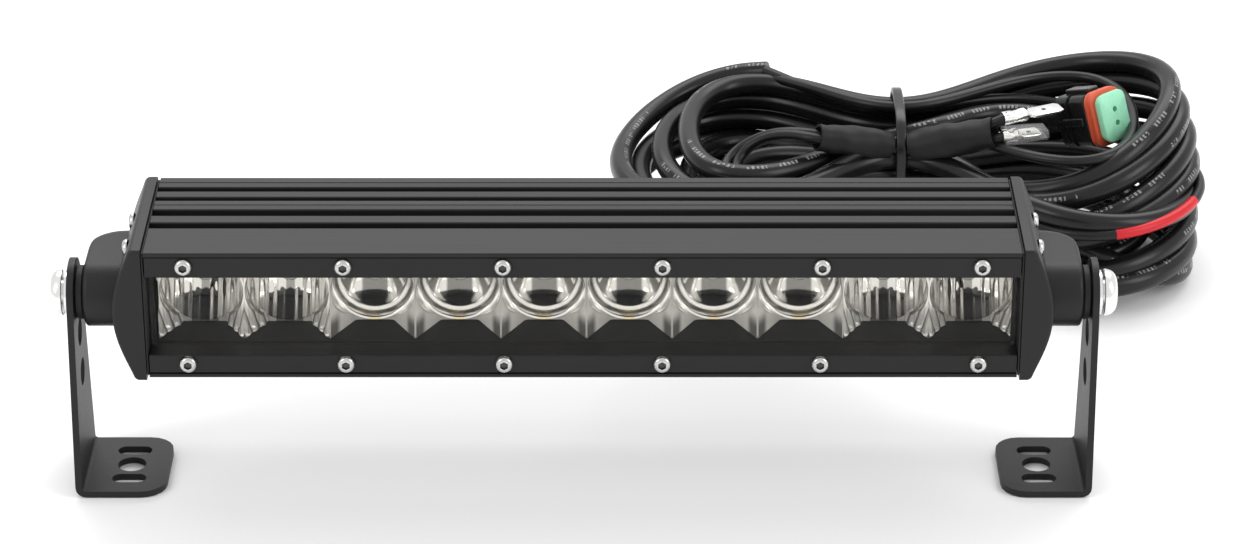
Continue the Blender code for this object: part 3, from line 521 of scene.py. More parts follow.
rubber = Finish("black_rubber", Base_Color=(0.014, 0.014, 0.014, 1), Specular_IOR_Level=0.35)
rubber.set(Roughness=0.5 + rubber.noise(400, 3) * 0.2)
rubber.relief(rubber.noise(900, 2), 0.06, 0.6)
RELIEF_START, RELIEF_LONG, GROOVE_STEP = 46.25, 20.0, 3.2
relief_x = np.linspace(0, RELIEF_LONG, 61)
relief_radius = 6.0 - 1.75 * np.clip((relief_x - 2) / 18, 0, 1)
in_groove = np.abs((relief_x - GROOVE_STEP) % GROOVE_STEP - GROOVE_STEP / 2) < 0.55
relief_radius = relief_radius - 0.7 * in_groove * (relief_x > GROOVE_STEP) * (relief_x < 18.5)
relief_end = RELIEF_START + RELIEF_LONG
relief_rows = [(RELIEF_START, 0.0), (RELIEF_START, 5.6), *zip(RELIEF_START + relief_x, relief_radius),
               (relief_end, 3.7), (relief_end, 0.0)]
relief_sheet = on_bar(turned(relief_rows, (50.0, 0, 0), (0, 1, 0)))
strain_relief = piece("strain_relief_sleeve", [(relief_sheet, False, True)], rubber.material, 30)
stands_for(strain_relief, "black_rubber", "strain_relief")

# ---------------------------------------------------------------- two-way plug
# A glossy nylon shell with a latch and two ribs along it, an orange silicone seal round its nose
# and the pale green wedge that locks the pins.

PLUG = (172.5, 149.0, 49.6)
PLUG_AIM = (0.60, -0.70, 0.36)


def rounded(half_wide, half_high, radius, columns=48):
    """Points round a rectangle with rounded corners: a corner's centre plus a radius at each angle."""
    angle = (np.arange(columns) + 0.5) * 2 * np.pi / columns
    c, s = np.cos(angle), np.sin(angle)
    across = np.sign(c) * (half_wide - radius) + radius * c
    return np.stack([across, np.sign(s) * (half_high - radius) + radius * s], 1)


def carried(rows, place, aim):
    """Rings of (across, up) points, each at a distance along an aim from a place: the place, plus the
    distance along the aim, plus each point's steps along a level side and the direction over it."""
    forward = unit(aim)
    side = unit(np.cross((0, 0, 1.0), forward))
    up = np.cross(forward, side)
    rings = [x * forward + ring[:, :1] * side + ring[:, 1:] * up for x, ring in rows]
    return np.asarray(place, float) + np.stack(rings)


def boxes(sizes):
    """A rounded rectangle at each distance, from rows of distance, half sizes and corner radius."""
    return [(x, rounded(wide, high, corner)) for x, wide, high, corner in sizes]


def in_plug(rows, rows_wrap=False):
    """A sheet of rings carried along the plug from its middle."""
    return on_ground(carried(rows, PLUG, PLUG_AIM)), rows_wrap, True


def closed(rows, middle=(0, 0)):
    """The rings with a point at each end, at a middle."""
    (first, ring), (last, _) = rows[0], rows[-1]
    point = ring * 0 + middle
    return [(first, point), *rows, (last, point)]


nylon = Finish("black_nylon", Specular_IOR_Level=0.4, Base_Color=(0.008, 0.008, 0.008, 1))
nylon.set(Roughness=0.2 + nylon.noise(500, 3) * 0.16)
nylon.relief(nylon.noise(350, 2), 0.05, 0.5)
shell_sizes = (
    (-30, 0.05, 0.05, 0.04), (-30, 3.6, 3.6, 3.4), (-29.6, 3.9, 3.9, 3.7), (-24, 4.1, 4.3, 3.6),
    (-21, 4.5, 4.8, 3.4), (-19.6, 5.6, 7.2, 3.0), (-19, 6.3, 8.2, 2.6), (-18.4, 6.6, 8.6, 2.4),
    (-13.5, 6.6, 8.6, 2.4), (-13.3, 6.0, 8.0, 2.2), (-12.1, 6.0, 8.0, 2.2), (-11.9, 6.6, 8.6, 2.4),
    (-5.8, 6.6, 8.6, 2.4), (-5.3, 6.1, 8.1, 2.2), (-5.3, 0.05, 0.05, 0.04),
)
LATCH_UP, RIB_OUT = 9.0, 6.7
latch_sizes = ((-17, 2.2, 0.9), (-16.6, 2.6, 1.2), (-6.6, 2.6, 1.2), (-6.2, 2.2, 0.8))
latch = [(x, rounded(wide, high, 0.5) + (0, LATCH_UP)) for x, wide, high in latch_sizes]
shell_sheets = [in_plug(boxes(shell_sizes)), in_plug(closed(latch, (0, LATCH_UP)))]
for out in (-RIB_OUT, RIB_OUT):
    rib_sizes = ((-16, 0.4), (-15.6, 0.8), (-7, 0.8), (-6.6, 0.4))
    rib = [(x, rounded(thick, 1.3, 0.3) + (out, 0)) for x, thick in rib_sizes]
    shell_sheets.append(in_plug(closed(rib, (out, 0))))
plug_shell = piece("plug_shell", shell_sheets, nylon.material, 30)
stands_for(plug_shell, "black_nylon", "plug_body")

seal = Finish("orange_seal", Specular_IOR_Level=0.4, Roughness=0.42)
seal.mottled(500, 3, (0.50, 0.055, 0.02), (0.62, 0.10, 0.04))
seal.relief(seal.noise(1200, 2), 0.03, 0.4)
seal_sizes = (
    (-5.0, 5.0, 7.0, 3.0), (-5.0, 6.6, 8.7, 3.6), (-4.6, 7.1, 9.2, 3.8), (-3.9, 7.2, 9.3, 3.8),
    (-3.3, 6.8, 8.9, 3.6), (-2.7, 7.2, 9.3, 3.8), (-1.7, 7.1, 9.2, 3.8), (-1.3, 6.6, 8.7, 3.6),
    (-1.3, 5.0, 7.0, 3.0),
)
plug_nose_seal = piece("plug_nose_seal", [in_plug(boxes(seal_sizes), True)], seal.material, 45)
stands_for(plug_nose_seal, "orange_seal", "plug_seal")

wedge = Finish("mint_wedge", Specular_IOR_Level=0.4, Roughness=0.38)
wedge.mottled(700, 3, (0.27, 0.66, 0.44), (0.33, 0.74, 0.50))
wedge.relief(wedge.noise(1500, 2), 0.02, 0.4)
wedge_sizes = (
    (-5.0, 0.05, 0.05, 0.04), (-5.0, 4.4, 6.4, 2.6), (0.9, 6.0, 8.2, 3.0), (1.5, 5.9, 8.1, 2.9),
    (1.9, 5.4, 7.6, 2.6), (1.9, 0.05, 0.05, 0.04),
)
plug_lock = piece("plug_lock", [in_plug(boxes(wedge_sizes))], wedge.material, 35)
bore_rows = [(-1.5, 0.0), (-1.5, 0.95), (3.0, 0.95), (3.0, 0.0)]
plug_way = unit(PLUG_AIM)
plug_up = np.cross(plug_way, unit(np.cross((0, 0, 1.0), plug_way)))
bores = [turned(bore_rows, PLUG + rise * plug_up, plug_way, 24) for rise in (-2.3, 2.3)]
pin_bores = piece("pin_bores", [(on_ground(bore), False, True) for bore in bores], wedge.material)


def combined(made, other, operation):
    """Takes another piece's shape out of this one, or adds it, for good. The other piece is removed."""
    tool = made.modifiers.new("combined", "BOOLEAN")
    tool.object, tool.operation, tool.solver = other, operation, "EXACT"
    bpy.context.view_layer.update()
    shape = bpy.data.meshes.new_from_object(made.evaluated_get(bpy.context.evaluated_depsgraph_get()))
    made.modifiers.clear()
    made.data = shape
    shape.shade_smooth()
    shape.set_sharp_from_angle(angle=math.radians(38))
    bpy.data.objects.remove(other)


combined(plug_lock, pin_bores, "DIFFERENCE")
stands_for(plug_lock, "mint_wedge", "plug_wedge")

# ---------------------------------------------------------------- heat-shrink sleeves
# Soft black tube over the joints of the battery wires, drawn in unevenly over what lies inside.
# One covers the splice beside the tie, and the other runs from the tie to the terminals.

shrink = Finish("shrink_sleeve", Specular_IOR_Level=0.25, Base_Color=(0.009, 0.009, 0.0095, 1))
shrink.set(Roughness=0.42 + shrink.noise(300, 3) * 0.22)
shrink.relief(shrink.noise(220, 3), 0.3, 0.6)


def wrap(name, start, end, wide, node):
    """A sleeve along a straight line. Its radius is half the width times a power of a sine, plus
    shallow waves round and along it. Both ends are rolled in, and closed a little way inside."""
    start, end = np.asarray(start, float), np.asarray(end, float)
    long, inside = np.linalg.norm(end - start), 2.5
    x = np.linspace(0, 1, 40)
    angle = np.arange(40) * 2 * np.pi / 40
    swell = 0.90 + 0.10 * np.sin(np.pi * np.clip(x * 1.15, 0, 1)) ** 0.6
    waves = 0.03 * np.sin(3 * angle[None] + 9 * x[:, None]) + 0.02 * np.sin(23 * x[:, None] + 2 * angle[None])
    radius = wide / 2 * (swell[:, None] + waves)
    near = [(inside, radius[0] * 0), (inside, radius[0] * 0.72), (0.0, radius[0] * 0.82)]
    far = [(long, radius[-1] * 0.82), (long - inside, radius[-1] * 0.72), (long - inside, radius[-1] * 0)]
    rows = [*near, *zip(x * long, radius), *far]
    sheet = on_ground(turned(rows, start, unit(end - start), 40))
    made = piece(name, [(sheet, False, True)], shrink.material, 35)
    return stands_for(made, "black_rubber", node)


splice_wrap = wrap("splice_wrap", (99.8, 152.4, 37.6), (75.5, 145.5, 43.4), 10.0, "splice_sleeve")
terminal_wrap = wrap("terminal_wrap", (107.2, 151.4, 37.4), (133.4, 143.5, 46.0), 11.2, "terminal_sleeve")

# ---------------------------------------------------------------- blade terminals
# Tinned terminals, pressed from sheet: a rolled barrel crimped on the wire, a neck and a flat
# blade with a locking hole. The lower one is still in its clear vinyl sleeve.

tin = Finish("bright_tin", Metallic=1.0)
tin.mottled(300, 3, (0.78, 0.78, 0.77), (0.90, 0.90, 0.89))
tin.set(Roughness=0.16 + tin.noise(700, 3) * 0.16)
tin.relief(tin.noise(600, 3), 0.05, 0.6)
clear_vinyl = Finish("clear_vinyl", Base_Color=(0.9, 0.92, 0.93, 1), Roughness=0.12)


def see_through(finish, ior, least):
    """Mixes the shader with a clear one. What reflects, on the outer face, is Fresnel's share plus a
    least share. The inner face of the clear wall adds nothing."""
    clear = finish.node("ShaderNodeBsdfTransparent", inputs={"Color": (0.98, 0.975, 0.96, 1)})
    inner = finish.node("ShaderNodeNewGeometry", output="Backfacing")
    share = (finish.node("ShaderNodeFresnel", inputs={"IOR": ior}) * (1 - least) + least) * (1 - inner)
    solid = Socket(finish, finish.shader.outputs[0])
    mixed = finish.node("ShaderNodeMixShader", inputs={0: share, 1: clear, 2: solid})
    finish.feed(finish.nodes["Material Output"].inputs["Surface"], mixed)


see_through(clear_vinyl, 1.45, 0.10)


def blade(name, start, aim, long, node):
    """The terminal's rings along its aim: a barrel with a pinched middle, a neck, and a blade with a
    bevelled tip. A round hole goes through the blade."""
    barrel, pinched = rounded(2.3, 2.1, 1.8, 32), rounded(2.5, 1.5, 1.3, 32)
    neck, flat, tip = rounded(1.6, 0.9, 0.7, 32), rounded(3.1, 0.55, 0.4, 32), rounded(2.4, 0.25, 0.2, 32)
    shares = ((0, barrel), (0.14, barrel), (0.18, pinched), (0.26, pinched), (0.30, barrel),
              (0.38, barrel), (0.44, neck), (0.5, flat), (0.93, flat), (1, tip))
    rows = closed([(share * long, ring) for share, ring in shares])
    made = piece(name, [(on_ground(carried(rows, start, aim)), False, True)], tin.material, 30)
    hole_rows = [(-2, 0.0), (-2, 0.8), (2, 0.8), (2, 0.0)]
    hole = on_ground(turned(hole_rows, start + 0.7 * long * unit(aim), (0, 0, 1.0), 20))
    combined(made, piece(name + "_hole", [(hole, False, True)], tin.material), "DIFFERENCE")
    return stands_for(made, "bright_steel", node)


LOWER_AIM = (0.97, 0.24, 0.02)
blade_positive = blade("blade_positive", (136.0, 144.8, 50.4), (0.94, 0.34, 0.05), 21.0, "terminal_positive")
blade_negative = blade("blade_negative", (135.8, 142.4, 45.2), LOWER_AIM, 13.0, "terminal_negative")
sleeve_sizes = ((0.0, 3.2, 2.9, 2.6), (0.0, 3.6, 3.2, 2.9), (9.0, 3.8, 2.4, 2.1),
                (14.5, 3.9, 1.6, 1.4), (14.5, 3.5, 1.2, 1.1), (9.0, 3.4, 2.0, 1.8))
sleeve_sheet = on_ground(carried(boxes(sleeve_sizes), (136.3, 142.5, 45.2), LOWER_AIM))
vinyl_sleeve = piece("vinyl_sleeve", [(sleeve_sheet, True, True)], clear_vinyl.material)
stands_for(vinyl_sleeve, "clear_polycarbonate", body=harness_body)

# ---------------------------------------------------------------- cable tie
# A nylon strap pulled tight round the waist of the hank. Its ratchet head and cut tail are at
# the back.


def waist_ring(swell, columns=96):
    """The hank's outline at its waist: powers of a cosine and a sine, swelled by a thickness."""
    angle = (np.arange(columns) + 0.5) * 2 * np.pi / columns
    c, s = np.cos(angle), np.sin(angle)
    half, top, bottom, power = 19.2 + swell, 45.0 + swell, 3.0 - swell, 0.6
    across = np.sign(c) * np.abs(c) ** power
    up = np.sign(s) * np.abs(s) ** power
    return np.stack([HANK_Y + half * across, (top + bottom) / 2 + (top - bottom) / 2 * up], 1)


STRAP_GAP = 1.5
strap = np.stack([
    np.concatenate([np.full((96, 1), HANK_X + across), waist_ring(STRAP_GAP + out)], 1)
    for across, out in rounded(1.7, 0.7, 0.65, 20)
])
head_sizes = ((-2.6, 0.8), (-2.2, 1.0), (2.2, 1.0), (2.6, 0.8))
head = closed([(x, rounded(3.4 * share, 2.6 * share, 0.6)) for x, share in head_sizes])
tail = closed([(x, rounded(1.9, 0.5, 0.4)) for x in (1.5, 8.0, 12.5)])
HEAD_Y = HANK_Y + 22.6
hank_tie = piece("hank_tie", [
    (on_ground(strap), True, True),
    (on_ground(carried(head, (HANK_X, HEAD_Y, 30.0), (0, 0.1, -1))), False, True),
    (on_ground(carried(tail, (HANK_X, HEAD_Y, 27.5), (0.15, 0.55, -0.8))), False, True),
], nylon.material, 35)
stands_for(hank_tie, "black_nylon", "cable_tie")

# ---------------------------------------------------------------- housing, rails and end gaskets
# An extruded aluminium housing with cooling fins, and two extruded rails that clamp the lens.
# Both are black anodised, with faint draw lines along their length. Silicone sheets seal the
# ends and the lens.

anodised = Finish("black_anodised", Specular_IOR_Level=0.25)
draw = anodised.noise(900, 3, (0.02, 1, 1))
mottle = anodised.noise(45, 3)
anodised.set(Base_Color=anodised.between(mottle, (0.0085, 0.0085, 0.0088), (0.013, 0.013, 0.0134)),
             Roughness=0.34 + draw * 0.10 + mottle * 0.06)
anodised.relief(draw * 0.7 + anodised.noise(2600, 2) * 0.5, 0.02, 0.45)


def finished(material, *nodes):
    """CAD nodes whose shape is right keep it, and get a material."""
    for name in nodes:
        mesh = frame["nodes"][name].data
        mesh.materials.clear()
        mesh.materials.append(material)


def softened(name, node, material, slot, wide):
    """A copy of a CAD node with its doubles merged, and its sharp edges broken by a small bevel."""
    angle = math.radians(32)
    mesh = frame["nodes"][node].data.copy()
    work = bmesh.new()
    work.from_mesh(mesh)
    bmesh.ops.remove_doubles(work, verts=work.verts, dist=2e-6)
    bmesh.ops.dissolve_limit(work, angle_limit=math.radians(0.5), verts=work.verts, edges=work.edges)
    work.to_mesh(mesh)
    work.free()
    mesh.name = name
    mesh.materials.clear()
    mesh.materials.append(material)
    mesh.shade_smooth()
    mesh.set_sharp_from_angle(angle=angle)
    made = bpy.data.objects.new(name, mesh)
    scene.collection.objects.link(made)
    edge = made.modifiers.new("edge", "BEVEL")
    edge.width, edge.segments, edge.limit_method = wide * MM, 2, "ANGLE"
    edge.angle_limit = angle
    edge.harden_normals = True
    edge.use_clamp_overlap = True
    return stands_for(made, slot, node)


housing = softened("housing", "housing_extrusion", anodised.material, "black_anodised", 0.12)
for word in ("upper", "lower"):
    softened("lens_rail_" + word, "clamp_rail_" + word, anodised.material, "black_anodised", 0.25)

silicone = Finish("black_silicone", Base_Color=(0.02, 0.02, 0.021, 1), Specular_IOR_Level=0.3)
silicone.set(Roughness=0.6 + silicone.noise(300, 2) * 0.15)
silicone.relief(silicone.noise(900, 2), 0.05, 0.5)
finished(silicone.material, "end_gasket_left", "end_gasket_right", "lens_gasket")

# ---------------------------------------------------------------- end caps
# Die-cast aluminium caps, black powder coated. Each bulges at mid-height, has rounded edges, and
# carries a thick boss into which the mounting bolt screws. Four screws hold it to the housing.

powder = Finish("black_powder_coat", Specular_IOR_Level=0.27)
peel = powder.noise(1300, 3)
cloud = powder.noise(35, 3)
powder.set(Base_Color=powder.between(cloud, (0.0085, 0.0085, 0.0088), (0.0125, 0.0125, 0.0128)),
           Roughness=0.36 + peel * 0.10 + cloud * 0.06)
powder.relief(peel, 0.06, 0.55)

CAP_BASE, CAP_HALF = 127.8, 21.2
CAP_FRONT, CAP_REAR = -16.1, 36.7
FRONT_ROUND, REAR_ROUND, LONG_ROUND = 1.0, 2.6, 1.2
BOSS_RADIUS, BOSS_LONG, BOSS_FACE = 10.0, 18.5, 146.3
CAP_SCREWS = [(y, z) for y in (-1.7, 16.3) for z in (-15.25, 15.25)]


def cap_body(side):
    """Rings from front to back, each a flat base and a crown. The crown's thickness falls from
    mid-height to the long edges as a power of one minus the height's share squared, and both are
    drawn in by a quarter circle at the front, rear and long edges."""
    turn = np.linspace(0, np.pi / 2, 7)
    drawn_in, away = 1 - np.cos(turn), 1 - np.sin(turn)
    front = np.stack([CAP_FRONT + FRONT_ROUND * away, FRONT_ROUND * drawn_in], 1)[::-1]
    rear = np.stack([CAP_REAR - REAR_ROUND * away, REAR_ROUND * drawn_in], 1)
    y, inset = np.concatenate([front, rear]).T[..., None]
    share = np.sin(np.linspace(-np.pi / 2, np.pi / 2, 65))
    z = (CAP_HALF - np.minimum(inset, 2.0)) * share
    edge = np.maximum(0.0, LONG_ROUND - CAP_HALF * (1 - np.abs(share)))
    rise = 3.5 + 5.6 * (1 - share**2) ** 1.3 - (LONG_ROUND - np.sqrt(LONG_ROUND**2 - edge**2))
    x = CAP_BASE + np.maximum(rise - inset, 0.4)
    crown = np.stack([side * x, np.broadcast_to(y, x.shape), z], 2)
    flat = np.full((len(y), 2), side * CAP_BASE)
    base = np.stack([flat, np.repeat(y, 2, 1), z[:, [-1, 0]]], 2)
    body = np.concatenate([crown, base], 1)
    first, last = (np.broadcast_to(body[k].mean(0), body[k].shape)[None] for k in (0, -1))
    return on_bar(np.concatenate([first, body, last]))


def cap_boss(side):
    """An obround about the bolt axis that grows out of the crown. Its rear end follows a quarter
    circle, and its face has a small rounded corner."""
    t = np.concatenate([[0.0], np.sin(np.linspace(0, np.pi / 2, 12)) * 0.995])
    edge = BOSS_RADIUS * (1 - np.sqrt(1 - t**2))
    out = np.concatenate([[CAP_BASE + 1.0], BOSS_FACE - BOSS_RADIUS * (1 - t[1:])])
    corner = np.clip((out - BOSS_FACE + 0.9) / 0.9, 0, 1) ** 2 * 0.9
    radius = (BOSS_RADIUS - corner)[:, None]
    angle = np.linspace(-np.pi / 2, 1.5 * np.pi, 96, endpoint=False)
    y = radius * np.cos(angle) + np.where(np.cos(angle) > 0, BOSS_LONG - edge[:, None], 0.0)
    z = radius * np.sin(angle)
    boss = np.stack([np.broadcast_to(side * out[:, None], y.shape), y, z], 2)
    first, last = (np.broadcast_to(np.array([side * x, 5.0, 0.0]), boss[:1].shape) for x in (out[0], out[-1]))
    return on_bar(np.concatenate([first, boss, last]))


def end_cap(name, side, node):
    """The body and its boss as one casting, with a round seat for each screw."""
    made = piece(name, [(cap_body(side), False, True)], powder.material, 35)
    combined(made, piece(name + "_boss", [(cap_boss(side), False, True)], powder.material, 35), "UNION")
    seat = [(0, 0.0), (0, 3.1), (9, 3.1), (9, 0.0)]
    places = [(side * (CAP_BASE + 5.0), y, z) for y, z in CAP_SCREWS]
    seats = [(on_bar(turned(seat, place, (side, 0, 0), 40)), False, True) for place in places]
    combined(made, piece(name + "_seats", seats, powder.material), "DIFFERENCE")
    return stands_for(made, "black_powder_coat", node)


end_cap("cap_casting_left", -1, "end_cap_left")
end_cap("cap_casting_right", 1, "end_cap_right")

# ---------------------------------------------------------------- small screws
# Stainless button-head screws with a hexagon socket: twelve in the rails and four in each cap.
# The sockets in the rails are seen square on, and carry a painted shade inside.

stainless = Finish("stainless", Metallic=1.0)
stainless.mottled(500, 3, (0.46, 0.46, 0.45), (0.60, 0.60, 0.59))
stainless.set(Roughness=0.2 + stainless.noise(900, 3) * 0.14)
stainless.relief(stainless.noise(1500, 2), 0.02, 0.5)


def button(place, axis, radius, high, socket, columns=48):
    """A domed head: a short straight rim, a quarter ellipse up to its flat, and a hexagonal socket,
    whose radius is its half width over the cosine of the angle from the nearest flat's middle."""
    angle = np.arange(columns) * 2 * np.pi / columns
    hexagon = socket / np.cos((angle + np.pi / 6) % (np.pi / 3) - np.pi / 6)
    turn = np.linspace(0, 1, 12)[1:] * np.pi / 2
    rim, flat = 0.16 * high, 1.35 * socket
    dome = zip(rim + (high - rim) * np.sin(turn), radius - (radius - flat) * (1 - np.cos(turn)))
    rows = [(0, 0.0), (0, radius * 0.97), (0.05 * high, radius), (rim, radius), *dome,
            (high, hexagon * 1.04), (0.94 * high, hexagon), (0.35 * high, hexagon),
            (0.25 * high, hexagon * 0.3), (0.22 * high, 0.0)]
    return on_bar(turned(rows, place, axis, columns)), False, True


# A dark steel that paints the shade inside the sockets.
shadowed = Finish("stainless_socket_painted_shade", Metallic=1.0, Roughness=0.4)
shadowed.mottled(900, 2, (0.05, 0.05, 0.05), (0.11, 0.11, 0.11))


def darkened(made, place, axis, radius):
    """The faces of a screw's socket, nearer to its axis than the radius, take the piece's second
    material, a painted shade."""
    faces = made.data.polygons
    centers = np.zeros(len(faces) * 3)
    index = np.zeros(len(faces), np.int32)
    faces.foreach_get("center", centers)
    faces.foreach_get("material_index", index)
    away = centers.reshape(-1, 3) - on_bar(place)
    away = away - np.outer(away @ np.asarray(axis, float), axis)
    index[np.linalg.norm(away, axis=1) < radius * MM] = 1
    faces.foreach_set("material_index", index)


SCREW_PITCH, RAIL_FACE, SEAT_FACE = 46.2, -15.72, 133.05
HEAD_RADIUS, HEAD_HIGH = 2.6, 1.5
rail_places = [((k - 2.5) * SCREW_PITCH, z) for z in (15.95, -15.65) for k in range(6)]
rail_heads = [button((x, RAIL_FACE, z), (0, -1, 0), HEAD_RADIUS, HEAD_HIGH, 1.1) for x, z in rail_places]
rail_screws = piece("rail_screws", rail_heads, stainless.material, 32)
rail_screws.data.materials.append(shadowed.material)
for x, z in rail_places:
    darkened(rail_screws, (x, 0, z), (0, 1, 0), 1.22)
stands_for(rail_screws, "stainless_screw",
           *[f"rail_screw_{row}_{k}" for row in ("upper", "lower") for k in range(1, 7)])

cap_heads = [button((side * SEAT_FACE, y, z), (side, 0, 0), HEAD_RADIUS, HEAD_HIGH, 1.15)
             for side in (-1, 1) for y, z in CAP_SCREWS]
cap_screws = piece("cap_screws", cap_heads, stainless.material, 32)
stands_for(cap_screws, "stainless_screw",
           *[f"cap_screw_{word}_{k}" for word in ("left", "right") for k in range(1, 5)])

# ---------------------------------------------------------------- lens
# A clear polycarbonate plate, clamped by the rails against a silicone ring. Its rim is against
# the black silicone all round, and shows its colour.

glass = Finish("clear_polycarbonate", Base_Color=(0.9, 0.92, 0.92, 1), Roughness=0.06)
see_through(glass, 1.3, 0.0)
LENS_FACE, LENS_BACK, LENS_WIDE, LENS_HIGH, LENS_CORNER = -8.6, -5.6, 126.8, 13.8, 1.8
inner = rounded(120.0, 12.0, 1.0)
brink = rounded(LENS_WIDE - 0.2, LENS_HIGH - 0.2, LENS_CORNER - 0.2)
rim = rounded(LENS_WIDE, LENS_HIGH, LENS_CORNER)
lens_rows = [(LENS_FACE, inner * (1, 0)), (LENS_FACE, inner), (LENS_FACE, brink), (LENS_FACE + 0.2, rim),
             (LENS_BACK - 0.2, rim), (LENS_BACK, brink), (LENS_BACK, inner), (LENS_BACK, inner * (1, 0))]
lens_points = [np.stack([ring[:, 0], np.full(len(ring), y), ring[:, 1]], 1) for y, ring in lens_rows]
lens_sheet = piece("lens_sheet", [(on_bar(np.stack(lens_points)), False, True)], glass.material, 30)
lens_sheet.data.materials.append(silicone.material)
facing = np.zeros(len(lens_sheet.data.polygons) * 3)
lens_sheet.data.polygons.foreach_get("normal", facing)
on_rim = np.abs(facing[1::3]) < 0.5
lens_sheet.data.polygons.foreach_set("material_index", on_rim.astype(np.int32))
stands_for(lens_sheet, "clear_polycarbonate", "lens")

# ---------------------------------------------------------------- reflectors
# Ten cups in three strips of plastic, vacuum metallised. Six plain round cups throw the spot
# beam, and two fluted ones at each end spread the flood beam.

CUP_PITCH, HALF_CELL, HALF_TALL = 25.2, 12.58, 13.0
CUP_MOUTH, LED_HOLE, CUP_BACK, CUP_DEEP, FOUR_FOCUS = 12.4, 3.0, 13.75, 14.2, 19.2
FIRST_FLUTE, FLUTE_WIDE = 1.2, 2.55


def metallised(name, fluted):
    """Vacuum-metallised plastic, by the mark of each point, its place from the cup's axis. The bowl
    is a mirror, with a painted dark reflection of the LED's holder at its middle. The webs beyond the
    mouth are satin. A fluted cup has painted shade in the seams between flutes and in the steps down its
    webs. A plain one has painted shade in its corners and at its inner step, painted dark reflection lines
    round its mouth, and a painted reflection of the LED's yellow low on its rim."""
    made = Finish(name)
    x, deep, up = made.marks()
    across = x.maths("ABSOLUTE")
    radius = (x * x + up * up) ** 0.5
    front = radius.ramp(9.2, 9.7)
    streak = made.noise(260, 3, (1, 1, 0.25))
    base = made.between(streak, (0.86, 0.85, 0.83), (0.97, 0.96, 0.94))
    if fluted:
        # Painted shade along the creases between flutes.
        painted_seam_shade = ((across - FIRST_FLUTE) / FLUTE_WIDE).maths("FRACT")
        painted_seam_shade = 1 - (painted_seam_shade - 0.5).maths("ABSOLUTE").ramp(0.36, 0.5) * 0.3
        # A painted dark reflection of the LED's holder down the middle of the bowl.
        middle = 1 - across.ramp(0.9, 1.4)
        # Painted shade in the steps down the webs.
        painted_step_shade = ((deep + across * 0.3) / 2.6).maths("FRACT").ramp(0.45, 0.7) * 0.75
        painted_step_shade = painted_step_shade * radius.ramp(12.0, 12.6)
        # All the painted shade and reflection of a fluted cup, as one share of dark colour.
        painted_shade_and_reflection = 1 - (1 - middle * 0.6) * painted_seam_shade * (1 - painted_step_shade)
        made.set(Metallic=0.98 - radius.ramp(12.3, 12.6) * 0.6)
    else:
        # A painted dark reflection of the LED's holder at the middle of the bowl.
        middle = (1 - across.ramp(3.3, 4.3)) * (1 - front)
        # Painted shade in the lower corners of the webs.
        corner = across.ramp(9.4, 10.8) * (1 - across.ramp(12.2, 12.5)) * (1 - up.ramp(-10.5, -6.0))
        corner = corner * front
        # Painted dark reflection lines round the mouth, and painted shade at the step inside it.
        lines = 1 - (radius - 11.05).maths("ABSOLUTE").ramp(0.05, 0.24)
        shade = (1 - (radius - 9.55).maths("ABSOLUTE").ramp(0.15, 0.5)) * across.ramp(3.0, 5.0)
        # The share of the base colour left after all the painted shade and reflection.
        bright = (1 - middle * 0.72) * (1 - corner * 0.85) * (1 - lines * 0.4) * (1 - shade * 0.4)
        painted_shade_and_reflection = 1 - bright
        # A painted reflection of the yellow LED, low on the rim.
        painted_led_reflection = (1 - across.ramp(1.4, 2.6)) * radius.ramp(11.5, 11.8) * (1 - radius.ramp(12.4, 12.6))
        base = made.between(painted_led_reflection * 0.8, base, (0.93, 0.74, 0.42))
        made.set(Metallic=0.98 - radius.ramp(12.3, 12.5) * 0.85)
    # The base colour is darkened by the painted shade and reflection.
    made.set(Base_Color=made.between(painted_shade_and_reflection, base, (0.05, 0.048, 0.045)),
             Roughness=0.03 + streak * 0.10 + front * 0.1)
    made.relief(made.noise(160, 2), 0.15, 0.25)
    return made.material


